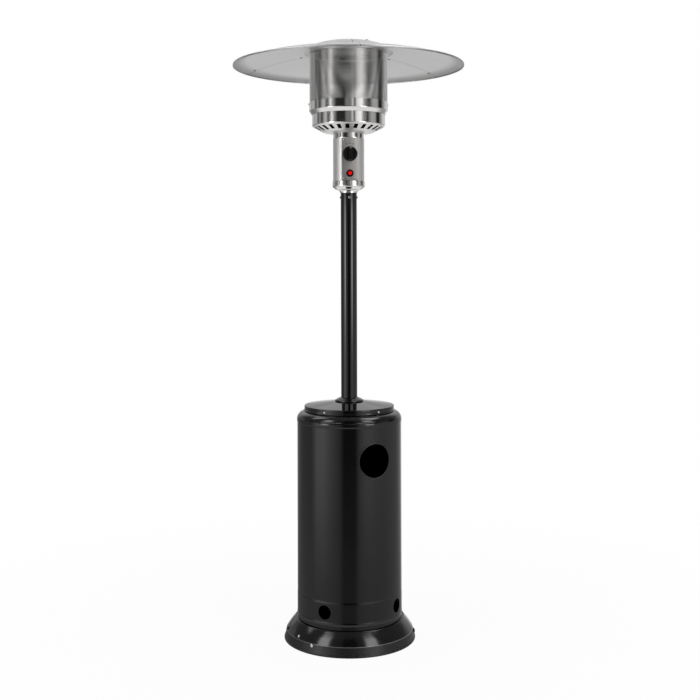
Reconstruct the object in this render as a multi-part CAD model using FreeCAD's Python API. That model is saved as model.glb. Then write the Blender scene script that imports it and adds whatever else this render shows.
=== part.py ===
import FreeCAD, Part
import math
import os

# Gas patio heater: black base, bottle barrel and post, a stainless head and a dome reflector.
# Millimetres and degrees. +Z is up, the origin is on the floor under the post, the knob faces -Y.
# Angles round the heater are counted from the front (-Y) towards +X.

os.makedirs("parts", exist_ok=True)
Vec = FreeCAD.Vector
UP = Vec(0, 0, 1)
DOWN = Vec(0, 0, -1)
FRONT = Vec(0, -1, 0)
BACK = Vec(0, 1, 0)

# Fits
touch_gap = 0.1          # between round faces of one body that slide together at assembly
running_gap = 0.05       # radial, between turning or sliding parts
bolt_gap = 0.3           # radial, between a bolt and its hole
seat_gap = 0.02          # between a flat head and a curved sheet
cut_margin = 1.0         # how far a cutter passes the face it cuts
drill_reach = 20.0       # how far a drill reaches on each side of its place

# Bottle barrel, measured up from its foot or down from its top
barrel_radius = 183.2
barrel_length = 722.5
barrel_sheet = 0.9
band_step = 1.2
step_height = 4.0
low_band_rise = 22.5
low_band_width = 71.0
high_band_drop = 35.0
shoulder_round = 28.0
shoulder_bevel = 0.3
barrel_flat = 6.4
vent_radius = 24.0
vent_rise = 59.5
vent_first_angle = -33.4
vent_count = 4
hand_hole_radius = 57.0
hand_hole_angle = 23.4
hand_hole_drop = 151.0
hand_hole_trim = 6.0
trim_rise = 1.3

# Base skirt
foot_radius = 230.0
hem_height = 6.0
hem_width = 4.5
hem_reach = 2.0
skirt_sheet = 1.5
band_height = 27.8
band_lean = 5.7
ledge_height = 73.5
ledge_width = 12.0
ledge_rise = 3.1
ledge_margin = 3.3

# Base tray
tray_height = 8.0
tray_sheet = 2.0
tray_flange = 21.0
tray_gap = 0.05
anchor_circle = 140.0
anchor_radius = 4.5
anchor_count = 3
anchor_angle = 60.0

# Heads on the skirt: angle, height above the hem and head radius of each
rim_bolt_places = ((80.0, 18.8, 9.0), (-86.0, 35.5, 9.0), (167.5, 18.0, 9.0))
rim_bolt_depth = 5.0
front_screw_places = ((-58.5, 36.0, 4.8), (-40.4, 22.5, 5.6))
front_screw_depth = 6.0

# Support legs
leg_angles = (180.0, 78.0, -78.0)
leg_sheet = 4.0
leg_width = 38.0
leg_margin = 17.2
leg_foot_length = 42.0
leg_bolt_reach = 24.0
leg_nut = 5.0
leg_slope = 0.9
leg_slope_round = 50.0
leg_tab_margin = 4.0
leg_tab_overlap = 20.0

# Post and its flange
post_radius = 28.5
post_wall = 1.5
post_length = 785.0
post_foot_drop = 20.0
flange_radius = 78.0
flange_thickness = 6.0
flange_bolt_reach = 56.0
m8_radius = 4.0
m8_hex = 13.0
m8_head = 5.3
m8_nut = 6.5

# Barrel lid and post collar
lid_overhang = 3.1
lid_rim = 19.0
lid_sheet = 1.2
lid_rise = 13.0
lid_post_gap = 4.5
lid_screw_count = 5
lid_screw_angle = -38.0
lid_screw_rise = 8.0
lid_screw_head = 4.2
lid_screw_depth = 3.0
collar_radius = 50.0
collar_foot = 3.0
collar_height = 14.0
collar_neck_wall = 2.4
collar_post_gap = 0.6

# Control can, panel, head cup, spigot and floor
can_radius = 54.9
can_sheet = 1.2
can_length = 166.0
can_flat_depth = 8.8
panel_sheet = 1.2
panel_margin = 1.0
panel_screw_margin = 4.4
panel_screw_inset = 7.0
panel_screw_head = 2.6
panel_screw_depth = 1.4
cup_sheet = 1.2
cup_gap = 1.0
cup_height = 41.0
cup_neck_wall = 2.5
cup_neck_height = 5.5
cup_corner_rise = 15.5
spigot_wall = 2.0
spigot_drop = 38.0
head_floor_rise = 22.0
head_floor_sheet = 2.0
post_screw_count = 4
post_screw_drop = 15.4
post_screw_head = 5.0
post_screw_depth = 3.4

# Knob and valve
knob_rise = 93.5
knob_radius = 26.0
knob_skirt = 9.0
knob_length = 24.0
knob_gap = 5.0
knob_travel = 4.0
press_margin = 1.0
knob_taper = 1.5
knob_room = 14.0
grip_width = 15.0
grip_taper = 2.0
spindle_radius = 4.0
spindle_in_plug = 6.0
spindle_in_knob = 18.0
valve_width = 30.0
valve_tall = 36.0
valve_length = 54.0
plug_radius = 9.0
plug_length = 22.0
plug_setback = 8.0
bushing_radius = 8.0
bushing_length = 10.0
valve_nut_hex = 19.0
valve_nut_height = 3.0
outlet_height = 6.0
main_outlet = 6.0
pilot_outlet = 3.6
pilot_outlet_x = 9.0
pilot_outlet_setbacks = (8.9, 26.9)
inlet_inset = 9.0
inlet_hex = 17.0
inlet_hex_height = 9.0
inlet_bore = 2.5
barb_length = 24.0
barb_radius = 5.0

# Igniter and tilt switch
igniter_rise = 26.3
igniter_collar = 13.0
igniter_collar_depth = 5.0
igniter_taper = 1.5
igniter_tube = 10.0
igniter_length = 31.0
igniter_nut_hex = 26.0
igniter_nut_height = 5.0
button_radius = 7.8
button_rise = 8.0
button_room = 20.0
button_foot = 12.0
button_bore = 5.0
button_bore_depth = 10.0
button_edge = 2.0
spring_wire = 1.0
knob_spring_radius = 6.2
button_spring_radius = 3.6
switch_setback = 38.0
switch_width = 26.0
switch_depth = 18.0
switch_height = 32.0
switch_lug_width = 44.0
switch_lug_depth = 12.0
switch_lug_sheet = 2.0
terminal_height = 8.0
terminal_width = 5.0
terminal_sheet = 0.8
terminal_x = 6.0

# Burner bowl, its neck and its plate
neck_inset = 0.7
neck_height = 20.5
neck_sheet = 1.2
bowl_radius = 128.6
bowl_sheet = 1.0
bowl_hole_radius = 40.0
bowl_floor_radius = 86.0
bowl_floor_rise = 2.0
bowl_cone_rise = 27.5
bowl_wall = 51.0
slot_count = 24
slot_width = 10.0
slot_inner_margin = 10.0
slot_outer_margin = 7.6
burner_plate_sheet = 1.5
window_count = 6
window_angle = 48.0
window_reach = 30.0
window_margin = 4.6

# Emitter
ring_reach = 10.0
ring_sheet = 1.2
ring_drop = 12.0
ring_chamfer = 11.0
ring_height = 45.0
band_screw_angles = (90.0, 180.0, -90.0)
band_screw_drop = 10.4
band_screw_head = 5.0
band_screw_depth = 3.0
screen_gap = 0.6
screen_sheet = 0.8
screen_length = 211.3
cap_sheet = 1.2
cap_skirt = 13.0
cap_opening = 80.0

# Burner
jet_hex = 19.0
jet_length = 16.0
jet_tip = 9.0
jet_tip_radius = 4.0
jet_stub = 9.0
jet_stub_length = 6.0
feed_radius = 4.0
mixing_radius = 16.0
mixing_wall = 1.2
mixing_rise = 9.5
mixing_top = 6.0
burner_radius = 68.0
burner_height = 24.0
burner_sheet = 1.5
gauze_sheet = 1.0
gas_line_radius = 2.0
gas_line_bend = 6.0
gas_line_rise = 8.0
neck_hole_radius = 3.2
pilot_angle = 60.0
pilot_gap = 20.0
pilot_pitch = 12.0
pilot_stem = 4.0
pilot_stem_height = 32.0
probe_radius = 3.0
probe_height = 36.0
electrode_height = 28.0
electrode_tip = 1.0
electrode_tip_length = 12.0
bracket_width = 36.0
bracket_foot = 12.0
bracket_wall = 24.0
bracket_sheet = 1.5

# Reflector
rim_radius = 406.5
rim_drop = 60.0
rim_lip = 7.0
rim_round = 4.0
reflector_sheet = 1.2
dome_rise = 43.0
dome_power = 2.6
dome_steps = 3
panel_count = 3
lap_angle = 2.6
joggle_angle = 0.5
seam_gap_angle = 0.06
seam_screw_inset = 33.5
seam_screw_head = 4.5
seam_screw_depth = 2.2
crown_radius = 168.0
crown_lap = 10.0
crown_flange = 10.0
crown_step = 4.0
crown_rise = 35.0
crown_power = 2.6
crown_screw_inset = 24.8
crown_screw_angle = 30.0
crown_screw_head = 7.0
crown_screw_depth = 3.6
crown_bend_inset = 17.0
standoff_hex = 12.0
standoff_nut = 5.0

# Places that follow from the sizes, from the floor up
band_foot_radius = foot_radius - hem_reach
crease_radius = band_foot_radius - band_lean
crease_height = hem_height + band_height
ledge_radius = barrel_radius + ledge_margin
skirt_top_radius = ledge_radius + ledge_rise
skirt_top_height = ledge_height + ledge_rise
barrel_top = ledge_height + barrel_length
shoulder_height = barrel_top - shoulder_round
raised_radius = barrel_radius + band_step
barrel_mouth = raised_radius - shoulder_round - barrel_flat
vent_height = ledge_height + vent_rise
hand_hole_height = barrel_top - hand_hole_drop
tray_top = tray_height + tray_sheet
leg_radius = barrel_radius - leg_margin
leg_bolt_circle = leg_radius + leg_bolt_reach
post_foot = barrel_top - post_foot_drop
post_top = post_foot + post_length
tab_bottom = post_foot - leg_sheet
leg_tab_radius = flange_radius + leg_tab_margin
leg_tab_end = flange_bolt_reach - leg_tab_overlap
lid_radius = raised_radius - shoulder_round + lid_overhang
lid_rim_top = barrel_top + lid_rim
lid_top = lid_rim_top + lid_rise
cup_radius = can_radius + cup_gap + cup_sheet
cup_top = post_top + cup_height
head_floor = post_top + head_floor_rise
can_foot = head_floor + head_floor_sheet
can_top = can_foot + can_length
can_flat = can_radius - can_flat_depth
can_inside = can_flat - can_sheet
panel_face = can_flat + panel_sheet
knob_height = cup_top + knob_rise
knob_back = -panel_face - knob_gap
bushing_end = -can_inside - bushing_length
knob_room_depth = knob_back - bushing_end + knob_travel + press_margin
plug_front = plug_setback - can_inside
spindle_end = plug_front + spindle_in_plug
spindle_tip = knob_back - spindle_in_knob
valve_top = knob_height + valve_tall / 2
outlet_top = valve_top + outlet_height
igniter_height = cup_top + igniter_rise
neck_radius = can_radius - neck_inset
bowl_bottom = can_top + neck_height
bowl_cone_top = bowl_bottom + bowl_cone_rise
burner_plate_height = bowl_cone_top + bowl_wall
burner_seat = burner_plate_height + burner_plate_sheet
jet_seat = can_top + neck_sheet
ring_radius = bowl_radius + ring_reach
ring_foot = burner_plate_height - ring_drop
ring_top = ring_foot + ring_height
screen_radius = ring_radius - ring_sheet - screen_gap
cap_top = burner_seat + screen_length + cap_sheet
cap_radius = screen_radius + touch_gap + cap_sheet
rim_height = cap_top - rim_drop
dome_edge = rim_radius - rim_round
dome_foot = rim_height + rim_lip
panel_inner_radius = crown_radius - crown_lap
seam_screw_radii = (rim_radius - seam_screw_inset, crown_radius + crown_flange + 6.0)
crown_screw_circle = screen_radius - crown_screw_inset
crown_bend = crown_screw_circle - crown_bend_inset


def save(name, shape):
    shape.exportStep(f"parts/{name}.step")


def at(radius, angle, height):
    """Point at a radius and height, at an angle from the front."""
    turn = math.radians(angle)
    return Vec(radius * math.sin(turn), -radius * math.cos(turn), height)


def outward(angle):
    return at(1.0, angle, 0.0)


def spread(count, first=0.0):
    return [first + 360.0 * i / count for i in range(count)]


def placed(shape, position, direction=UP):
    """Moves a shape made along +Z at the origin to a position, with +Z along a direction."""
    moved = shape.copy()
    moved.Placement = FreeCAD.Placement(position, FreeCAD.Rotation(UP, direction))
    return moved


def rod(radius, length, position=Vec(0, 0, 0), direction=UP):
    return Part.makeCylinder(radius, length, position, direction)


def tube(outer, inner, length, position=Vec(0, 0, 0), direction=UP):
    return rod(outer, length, position, direction).cut(rod(inner, length, position, direction))


def drilled(shape, radius, places, direction=UP):
    """Cuts a round hole through a wall at each place."""
    return shape.cut([rod(radius, 2 * drill_reach, place - direction * drill_reach, direction)
                      for place in places])


def block(centre, size):
    """Box about a centre point."""
    corner = centre - Vec(*size) * 0.5
    return Part.makeBox(size[0], size[1], size[2], corner)


def group(shapes):
    return Part.makeCompound(shapes)


def joined(shapes):
    first, *rest = shapes
    return first.multiFuse(rest).removeSplitter()


def corner_data(before, corner, after, rounding):
    """Start, middle and end of the tangent arc that rounds a corner."""
    to_before = (before - corner).normalize()
    to_after = (after - corner).normalize()
    half = to_before.getAngle(to_after) / 2
    middle_way = (to_before + to_after).normalize()
    reach = rounding / math.tan(half)
    centre = corner + middle_way * (rounding / math.sin(half))
    return corner + to_before * reach, centre - middle_way * rounding, corner + to_after * reach


def outline(corners):
    """Closed face in the XZ plane from (radius, height) corners; a third number rounds a corner."""
    places = [Vec(c[0], 0, c[1]) for c in corners]
    roundings = [c[2] if len(c) > 2 else 0.0 for c in corners]
    arcs = []
    for i, place in enumerate(places):
        if roundings[i]:
            after = places[(i + 1) % len(places)]
            arcs.append(corner_data(places[i - 1], place, after, roundings[i]))
        else:
            arcs.append((place, None, place))
    edges = []
    for i, (start, middle, end) in enumerate(arcs):
        if middle is not None:
            edges.append(Part.Arc(start, middle, end).toShape())
        following = arcs[(i + 1) % len(arcs)][0]
        if end.distanceToPoint(following) > 1e-6:
            edges.append(Part.makeLine(end, following))
    return Part.Face(Part.Wire(edges))


def sheet(path, thickness):
    """Corners of a bent sheet from those of one face; the sheet lies to the left of the path."""
    places = [Vec(c[0], c[1], 0) for c in path]
    roundings = [c[2] if len(c) > 2 else 0.0 for c in path]
    ways = [(b - a).normalize() for a, b in zip(places[:-1], places[1:])]
    lefts = [Vec(-way.y, way.x, 0) for way in ways]
    other = [places[0] + lefts[0] * thickness]
    other_roundings = [0.0]
    for i in range(1, len(places) - 1):
        opening = 1 + lefts[i - 1].dot(lefts[i])
        other.append(places[i] + (lefts[i - 1] + lefts[i]) * (thickness / opening))
        turns_left = ways[i - 1].cross(ways[i]).z > 0
        change = -thickness if turns_left else thickness
        other_roundings.append(max(roundings[i] + change, 0.0) if roundings[i] else 0.0)
    other.append(places[-1] + lefts[-1] * thickness)
    other_roundings.append(0.0)
    far_side = [(p.x, p.y, r) for p, r in zip(other, other_roundings)]
    near_side = [(p.x, p.y, r) for p, r in zip(places, roundings)]
    return near_side + far_side[::-1]


def turned(corners):
    return outline(corners).revolve(Vec(0, 0, 0), UP, 360)


def turned_sector(face, start, sweep):
    """Sector of a turned face; the start and sweep are angles round the heater."""
    solid = face.revolve(Vec(0, 0, 0), UP, sweep)
    solid.rotate(Vec(0, 0, 0), UP, start - 90)
    return solid


def rectangle(inner, outer, low, high):
    """Rectangular face in the XZ plane."""
    return outline([(inner, low), (outer, low), (outer, high), (inner, high)])


def hexagon(across, height):
    corner = across / math.sqrt(3)
    points = [at(corner, angle, 0.0) for angle in spread(6)]
    return Part.Face(Part.makePolygon(points + points[:1])).extrude(Vec(0, 0, height))


def bolt(length):
    return joined([hexagon(m8_hex, m8_head), rod(m8_radius, length, Vec(0, 0, -length))])


def nut(across, height, hole):
    return hexagon(across, height).cut(rod(hole, height))


def bent_rod(points, radius, bend):
    """Round rod along straight runs that are joined by tangent arcs."""
    pieces = []
    start = points[0]
    for before, corner, after in zip(points[:-2], points[1:-1], points[2:]):
        arc_start, _, arc_end = corner_data(before, corner, after, bend)
        way = (corner - before).normalize()
        next_way = (after - corner).normalize()
        axis = way.cross(next_way).normalize()
        centre = arc_start + axis.cross(way) * bend
        ring = Part.Face(Part.Wire(Part.makeCircle(radius, arc_start, way)))
        pieces.append(rod(radius, arc_start.distanceToPoint(start), start, way))
        pieces.append(ring.revolve(centre, axis, math.degrees(way.getAngle(next_way))))
        start = arc_end
    way = (points[-1] - points[-2]).normalize()
    pieces.append(rod(radius, points[-1].distanceToPoint(start), start, way))
    return joined(pieces)


def spring_sleeve(radius, length, position, direction):
    """Closed stand-in for a spring's turns, as wide as the coil."""
    return tube(radius + spring_wire / 2, radius - spring_wire / 2, length, position, direction)


# Base

band_slope = -band_lean / band_height
cone_slope = (skirt_top_radius - crease_radius) / (skirt_top_height - crease_height)
band_tilt = math.atan(-band_slope)


def band_radius(height):
    """Outer radius of the skirt's band."""
    return band_foot_radius + band_slope * (height - hem_height)


def tray_edge(height):
    """Radius of the tray's flange, just inside the band."""
    return band_radius(height) - skirt_sheet / math.cos(band_tilt) - tray_gap


def base_skirt():
    """Pressed skirt: a thick hem, a sloping band, a cone, and the ledge that carries the barrel."""
    wall = turned(sheet([
        (band_foot_radius, hem_height),
        (crease_radius, crease_height),
        (skirt_top_radius, skirt_top_height),
        (ledge_radius, ledge_height),
        (ledge_radius - ledge_width, ledge_height),
    ], skirt_sheet))
    return joined([tube(foot_radius, foot_radius - hem_width, hem_height), wall])


def base_tray():
    """Tray that the bottle stands on, with an upturned flange inside the band."""
    rim = tray_height + tray_flange
    tray = turned(sheet([
        (0, tray_height),
        (tray_edge(tray_height), tray_height),
        (tray_edge(rim), rim),
    ], tray_sheet))
    anchors = [at(anchor_circle, angle, tray_height) for angle in spread(anchor_count, anchor_angle)]
    tray = drilled(tray, anchor_radius, anchors)
    return drilled(tray, m8_radius + bolt_gap, leg_places(leg_bolt_circle, tray_height))


def leg_places(radius, height):
    return [at(radius, angle, height) for angle in leg_angles]


def skirt_head(angle, rise, head, depth):
    """Low round head that seats on the skirt's band, or above the crease on its cone."""
    height = hem_height + rise
    slope = cone_slope if height > crease_height else band_slope
    radius = crease_radius + slope * (height - crease_height)
    tilt = math.atan(-slope)
    normal = outward(angle) * math.cos(tilt) + UP * math.sin(tilt)
    return placed(rod(head, depth), at(radius + seat_gap, angle, height), normal)


def skirt_heads(places, depth):
    return group([skirt_head(angle, rise, head, depth) for angle, rise, head in places])


# Support legs and post foot

def support_leg(angle):
    """Steel strip: a foot on the tray, up beside the bottle, in over it, and a tab under the flange."""
    slope_drop = (leg_radius - leg_tab_radius) * leg_slope
    strip = outline(sheet([
        (leg_radius + leg_foot_length, tray_top),
        (leg_radius, tray_top),
        (leg_radius, tab_bottom - slope_drop, leg_slope_round),
        (leg_tab_radius, tab_bottom),
        (leg_tab_end, tab_bottom),
    ], -leg_sheet)).extrude(Vec(0, leg_width, 0))
    strip.translate(Vec(0, -leg_width / 2, 0))
    strip.rotate(Vec(0, 0, 0), UP, angle - 90)
    bolts = [at(leg_bolt_circle, angle, tray_top), at(flange_bolt_reach, angle, tab_bottom)]
    return drilled(strip, m8_radius + bolt_gap, bolts)


def leg_foot_fasteners():
    length = leg_sheet + tray_sheet + leg_nut
    bolts = [placed(bolt(length), place) for place in leg_places(leg_bolt_circle, tray_top + leg_sheet)]
    nuts = [placed(nut(m8_hex, leg_nut, m8_radius), place, DOWN)
            for place in leg_places(leg_bolt_circle, tray_height)]
    return group(bolts + nuts)


def post_flange():
    flange = tube(flange_radius, post_radius + touch_gap, flange_thickness, Vec(0, 0, post_foot))
    return drilled(flange, m8_radius + bolt_gap, leg_places(flange_bolt_reach, post_foot))


def flange_fasteners():
    length = leg_sheet + flange_thickness + m8_nut
    top = post_foot + flange_thickness
    bolts = [placed(bolt(length), place) for place in leg_places(flange_bolt_reach, top)]
    nuts = [placed(nut(m8_hex, m8_nut, m8_radius), place, DOWN)
            for place in leg_places(flange_bolt_reach, tab_bottom)]
    return group(bolts + nuts)


def post_tube():
    return tube(post_radius, post_radius - post_wall, post_length, Vec(0, 0, post_foot))


# Bottle barrel

def barrel():
    """Rolled sheet with a raised band near its foot, a raised band at its top and a rounded shoulder."""
    bore = barrel_radius - barrel_sheet
    low = ledge_height + low_band_rise
    high = low + low_band_width
    crest = barrel_top - high_band_drop
    bevel = shoulder_bevel * shoulder_round
    wall = turned([
        (barrel_radius, ledge_height), (barrel_radius, low - step_height),
        (raised_radius, low), (raised_radius, high),
        (barrel_radius, high + step_height), (barrel_radius, crest - step_height),
        (raised_radius, crest), (raised_radius, shoulder_height),
        (raised_radius - bevel, barrel_top - bevel), (raised_radius - shoulder_round, barrel_top),
        (barrel_mouth, barrel_top), (barrel_mouth, barrel_top - barrel_sheet),
        (bore - shoulder_round, barrel_top - barrel_sheet), (bore, shoulder_height), (bore, ledge_height),
    ])
    for angle in spread(vent_count, vent_first_angle):
        wall = drilled(wall, vent_radius, [at(barrel_radius, angle, vent_height)], outward(angle))
    place = at(barrel_radius, hand_hole_angle, hand_hole_height)
    return drilled(wall, hand_hole_radius, [place], outward(hand_hole_angle))


def hand_hole_trim_ring():
    """Thin trim that follows the barrel round the hand hole."""
    way = outward(hand_hole_angle)
    start = at(barrel_radius - drill_reach, hand_hole_angle, hand_hole_height)
    ring = tube(hand_hole_radius + hand_hole_trim, hand_hole_radius, 2 * drill_reach, start, way)
    height = 3 * hand_hole_radius
    foot = Vec(0, 0, hand_hole_height - height / 2)
    return ring.common(tube(barrel_radius + trim_rise, barrel_radius, height, foot))


def barrel_lid():
    """Pressed lid with a folded rim, drawn up gently towards the post."""
    return turned(sheet([
        (barrel_mouth, barrel_top),
        (lid_radius, barrel_top),
        (lid_radius, lid_rim_top),
        (post_radius + lid_post_gap, lid_top),
    ], lid_sheet))


def round_heads(head, depth, radius, angles, height):
    """Low round heads that point outward on a cylinder."""
    return group([placed(rod(head, depth), at(radius, angle, height), outward(angle)) for angle in angles])


def lid_screws():
    angles = spread(lid_screw_count, lid_screw_angle)
    return round_heads(lid_screw_head, lid_screw_depth, lid_radius, angles, barrel_top + lid_screw_rise)


def post_collar():
    """Flared collar that lies on the lid round the post."""
    bore = post_radius + collar_post_gap
    top = lid_top + collar_height
    return turned([
        (bore, lid_top), (collar_radius, lid_top), (collar_radius, lid_top + collar_foot),
        (bore + collar_neck_wall, top), (bore, top),
    ])


# Control head

def head_base():
    """Round floor of the head with the spigot that goes down into the post welded to it."""
    outer = post_radius - post_wall - touch_gap
    inner = outer - spigot_wall
    foot = post_top - spigot_drop
    rim = cup_radius - cup_sheet - 2 * touch_gap
    spigot = tube(outer, inner, can_foot - foot, Vec(0, 0, foot))
    floor = tube(rim, inner, head_floor_sheet, Vec(0, 0, head_floor))
    return joined([spigot, floor])


def post_screws():
    height = post_top - post_screw_drop
    return round_heads(post_screw_head, post_screw_depth, post_radius, spread(post_screw_count), height)


def head_cup():
    """Polished cup: a neck ring on the post, a flared floor and a short wall round the can."""
    hole = post_radius - post_wall
    neck = post_radius + cup_neck_wall
    neck_top = post_top + cup_neck_height
    corner = post_top + cup_corner_rise
    return turned([
        (hole, post_top), (neck, post_top), (neck, neck_top), (cup_radius, corner), (cup_radius, cup_top),
        (cup_radius - cup_sheet, cup_top), (cup_radius - cup_sheet, corner + cup_sheet),
        (hole, neck_top + cup_sheet),
    ])


def flattened_disc(radius, flat):
    """Disc as tall as the can, with its front cut off flat."""
    disc = rod(radius, can_length, Vec(0, 0, can_foot))
    front = block(Vec(0, -flat - radius, can_foot + can_length / 2), (3 * radius, 2 * radius, 2 * can_length))
    return disc.cut(front)


def panel_drilled(plate):
    """Cuts the holes for the valve's bushing and the igniter."""
    plate = drilled(plate, bushing_radius + touch_gap, [Vec(0, -panel_face, knob_height)], BACK)
    return drilled(plate, igniter_tube + touch_gap, [Vec(0, -panel_face, igniter_height)], BACK)


def control_can():
    can = flattened_disc(can_radius, can_flat).cut(flattened_disc(can_radius - can_sheet, can_inside))
    return panel_drilled(can)


def panel_half_width():
    return math.sqrt(can_radius ** 2 - panel_face ** 2)


def control_panel():
    low = cup_top + panel_margin
    high = can_top - panel_margin
    centre = Vec(0, -can_flat - panel_sheet / 2, (low + high) / 2)
    return panel_drilled(block(centre, (2 * panel_half_width(), panel_sheet, high - low)))


def panel_screws():
    """Small heads at the corners of the panel."""
    side = panel_half_width() - panel_screw_margin
    places = [Vec(x, -panel_face, z) for x in (-side, side)
              for z in (cup_top + panel_screw_inset, can_top - panel_screw_inset)]
    return group([placed(rod(panel_screw_head, panel_screw_depth), place, FRONT) for place in places])


def on_axis(y, height=knob_height):
    """Point in the middle plane at the height of the knob, or at another height."""
    return Vec(0, y, height)


def outlet_places():
    """X, Y and boss radius of the main, pilot and thermocouple outlets on top of the valve."""
    small = [(pilot_outlet_x, setback - can_inside, pilot_outlet) for setback in pilot_outlet_setbacks]
    return [(0.0, 0.0, main_outlet)] + small


def gas_valve():
    """Valve body with its threaded bushing, and a boss on top for each outlet."""
    body = block(on_axis(valve_length / 2 - can_inside), (valve_width, valve_length, valve_tall))
    bushing = rod(bushing_radius, bushing_length + cut_margin, on_axis(cut_margin - can_inside), FRONT)
    bosses = [rod(radius, outlet_height, Vec(x, y, valve_top)) for x, y, radius in outlet_places()]
    valve = joined([body, bushing] + bosses)
    plug_room = rod(plug_radius + running_gap, plug_length + 4 * running_gap,
                    on_axis(plug_front - 2 * running_gap), BACK)
    spindle_room = rod(spindle_radius + running_gap, plug_front - bushing_end + 2 * cut_margin,
                       on_axis(bushing_end - cut_margin), BACK)
    return valve.cut([plug_room, spindle_room])


def valve_nut():
    return placed(nut(valve_nut_hex, valve_nut_height, bushing_radius), on_axis(-panel_face), FRONT)


def valve_inlet():
    """Hexagon and hose barb below the valve."""
    y = valve_length - inlet_inset - can_inside
    seat = knob_height - valve_tall / 2 - inlet_hex_height
    barb = rod(barb_radius, barb_length, on_axis(y, seat - barb_length))
    fitting = joined([barb, placed(hexagon(inlet_hex, inlet_hex_height), on_axis(y, seat))])
    return fitting.cut(rod(inlet_bore, barb_length, on_axis(y, seat - barb_length)))


def valve_plug():
    """Turning plug with the round socket for the spindle."""
    socket = spindle_in_plug + knob_travel + press_margin
    return tube(plug_radius, spindle_radius + running_gap, socket, on_axis(plug_front), BACK).fuse(
        rod(plug_radius, plug_length - socket, on_axis(plug_front + socket), BACK)).removeSplitter()


def valve_spindle():
    return rod(spindle_radius, spindle_end - spindle_tip, on_axis(spindle_end), FRONT)


def control_knob():
    """Round black knob with a tapered skirt and a grip bar across its face."""
    face_radius = knob_radius - knob_taper
    side = grip_width / 2
    skirt = Part.makeCone(knob_radius, face_radius, knob_skirt)
    bar = outline([(-side, knob_skirt - cut_margin), (side, knob_skirt - cut_margin),
                   (side - grip_taper, knob_length), (grip_taper - side, knob_length)])
    bar = bar.extrude(Vec(0, 2 * knob_radius, 0))
    bar.translate(Vec(0, -knob_radius, 0))
    bar = bar.common(Part.makeCone(face_radius, knob_radius - 2 * grip_taper, knob_length))
    knob = joined([skirt, bar]).cut(rod(knob_room, knob_room_depth))
    return placed(knob, on_axis(knob_back), FRONT).cut(valve_spindle())


def spindle_spring():
    length = bushing_end - knob_back + knob_room_depth
    return spring_sleeve(knob_spring_radius, length, on_axis(bushing_end), FRONT)


def igniter_housing():
    """Black collar in front of the panel and the piezo body behind it, hollow for the button."""
    collar = Part.makeCone(igniter_collar, igniter_collar - igniter_taper, igniter_collar_depth)
    body = rod(igniter_tube, igniter_length + panel_face - can_inside, Vec(0, 0, 0), DOWN)
    bore = rod(button_radius + running_gap, igniter_collar_depth + button_room, Vec(0, 0, -button_room))
    return placed(joined([collar, body]).cut(bore), on_axis(-panel_face, igniter_height), FRONT)


def igniter_nut():
    ring = nut(igniter_nut_hex, igniter_nut_height, igniter_tube)
    return placed(ring, on_axis(-can_inside, igniter_height), BACK)


def igniter_button():
    """Red push button, hollow behind for its spring."""
    shoulder = igniter_collar_depth + button_rise - button_edge
    stem = rod(button_radius, shoulder + button_foot, Vec(0, 0, -button_foot))
    tip = Part.makeCone(button_radius, button_radius - button_edge, button_edge, Vec(0, 0, shoulder))
    button = joined([stem, tip]).cut(rod(button_bore, button_bore_depth, Vec(0, 0, -button_foot)))
    return placed(button, on_axis(-panel_face, igniter_height), FRONT)


def igniter_spring():
    length = button_room - button_foot + button_bore_depth
    foot = on_axis(button_room - panel_face, igniter_height)
    return spring_sleeve(button_spring_radius, length, foot, FRONT)


def tilt_switch():
    """Sealed tilt switch that stands on the head floor."""
    case = block(Vec(0, switch_setback, can_foot + switch_height / 2),
                 (switch_width, switch_depth, switch_height))
    lugs = block(Vec(0, switch_setback, can_foot + switch_lug_sheet / 2),
                 (switch_lug_width, switch_lug_depth, switch_lug_sheet))
    height = can_foot + switch_height + terminal_height / 2
    terminals = [block(Vec(x, switch_setback, height), (terminal_width, terminal_sheet, terminal_height))
                 for x in (-terminal_x, terminal_x)]
    return joined([case, lugs] + terminals)


# Burner bowl

def pipe_places(height):
    """Where the pilot pipe and the thermocouple lead rise from the valve."""
    return [Vec(x, y, height) for x, y, _ in outlet_places()[1:]]


def bowl_neck():
    """Polished ring that closes the can and carries the bowl and the jet."""
    neck = turned(sheet([
        (jet_stub + touch_gap, can_top),
        (neck_radius, can_top),
        (neck_radius, bowl_bottom),
    ], neck_sheet))
    return drilled(neck, neck_hole_radius, pipe_places(can_top))


def burner_bowl():
    """Spun bowl with a ring of radial air slots pressed through its cone."""
    bowl = turned(sheet([
        (bowl_hole_radius, bowl_bottom),
        (bowl_floor_radius, bowl_bottom + bowl_floor_rise),
        (bowl_radius, bowl_cone_top),
        (bowl_radius, burner_plate_height),
    ], bowl_sheet))
    inner = bowl_floor_radius + slot_inner_margin
    outer = bowl_radius - slot_outer_margin
    width = math.degrees(2 * slot_width / (inner + outer))
    slot = rectangle(inner, outer, bowl_bottom - cut_margin, bowl_cone_top + cut_margin)
    return bowl.cut([turned_sector(slot, angle - width / 2, width)
                     for angle in spread(slot_count, 180.0 / slot_count)])


def burner_plate():
    """Plate over the bowl with a ring of wide air windows round the burner."""
    plate = tube(ring_radius - ring_sheet - touch_gap, mixing_radius + touch_gap, burner_plate_sheet,
                 Vec(0, 0, burner_plate_height))
    window = rectangle(burner_radius + window_reach, bowl_radius - window_margin,
                       burner_plate_height - cut_margin, burner_seat + cut_margin)
    windows = [turned_sector(window, angle, window_angle)
               for angle in spread(window_count, -window_angle / 2)]
    pipes = [pilot_place(-pilot_pitch), pilot_place(0.0)]
    return drilled(plate.cut(windows), gas_line_radius + touch_gap, pipes)


# Emitter

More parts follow.
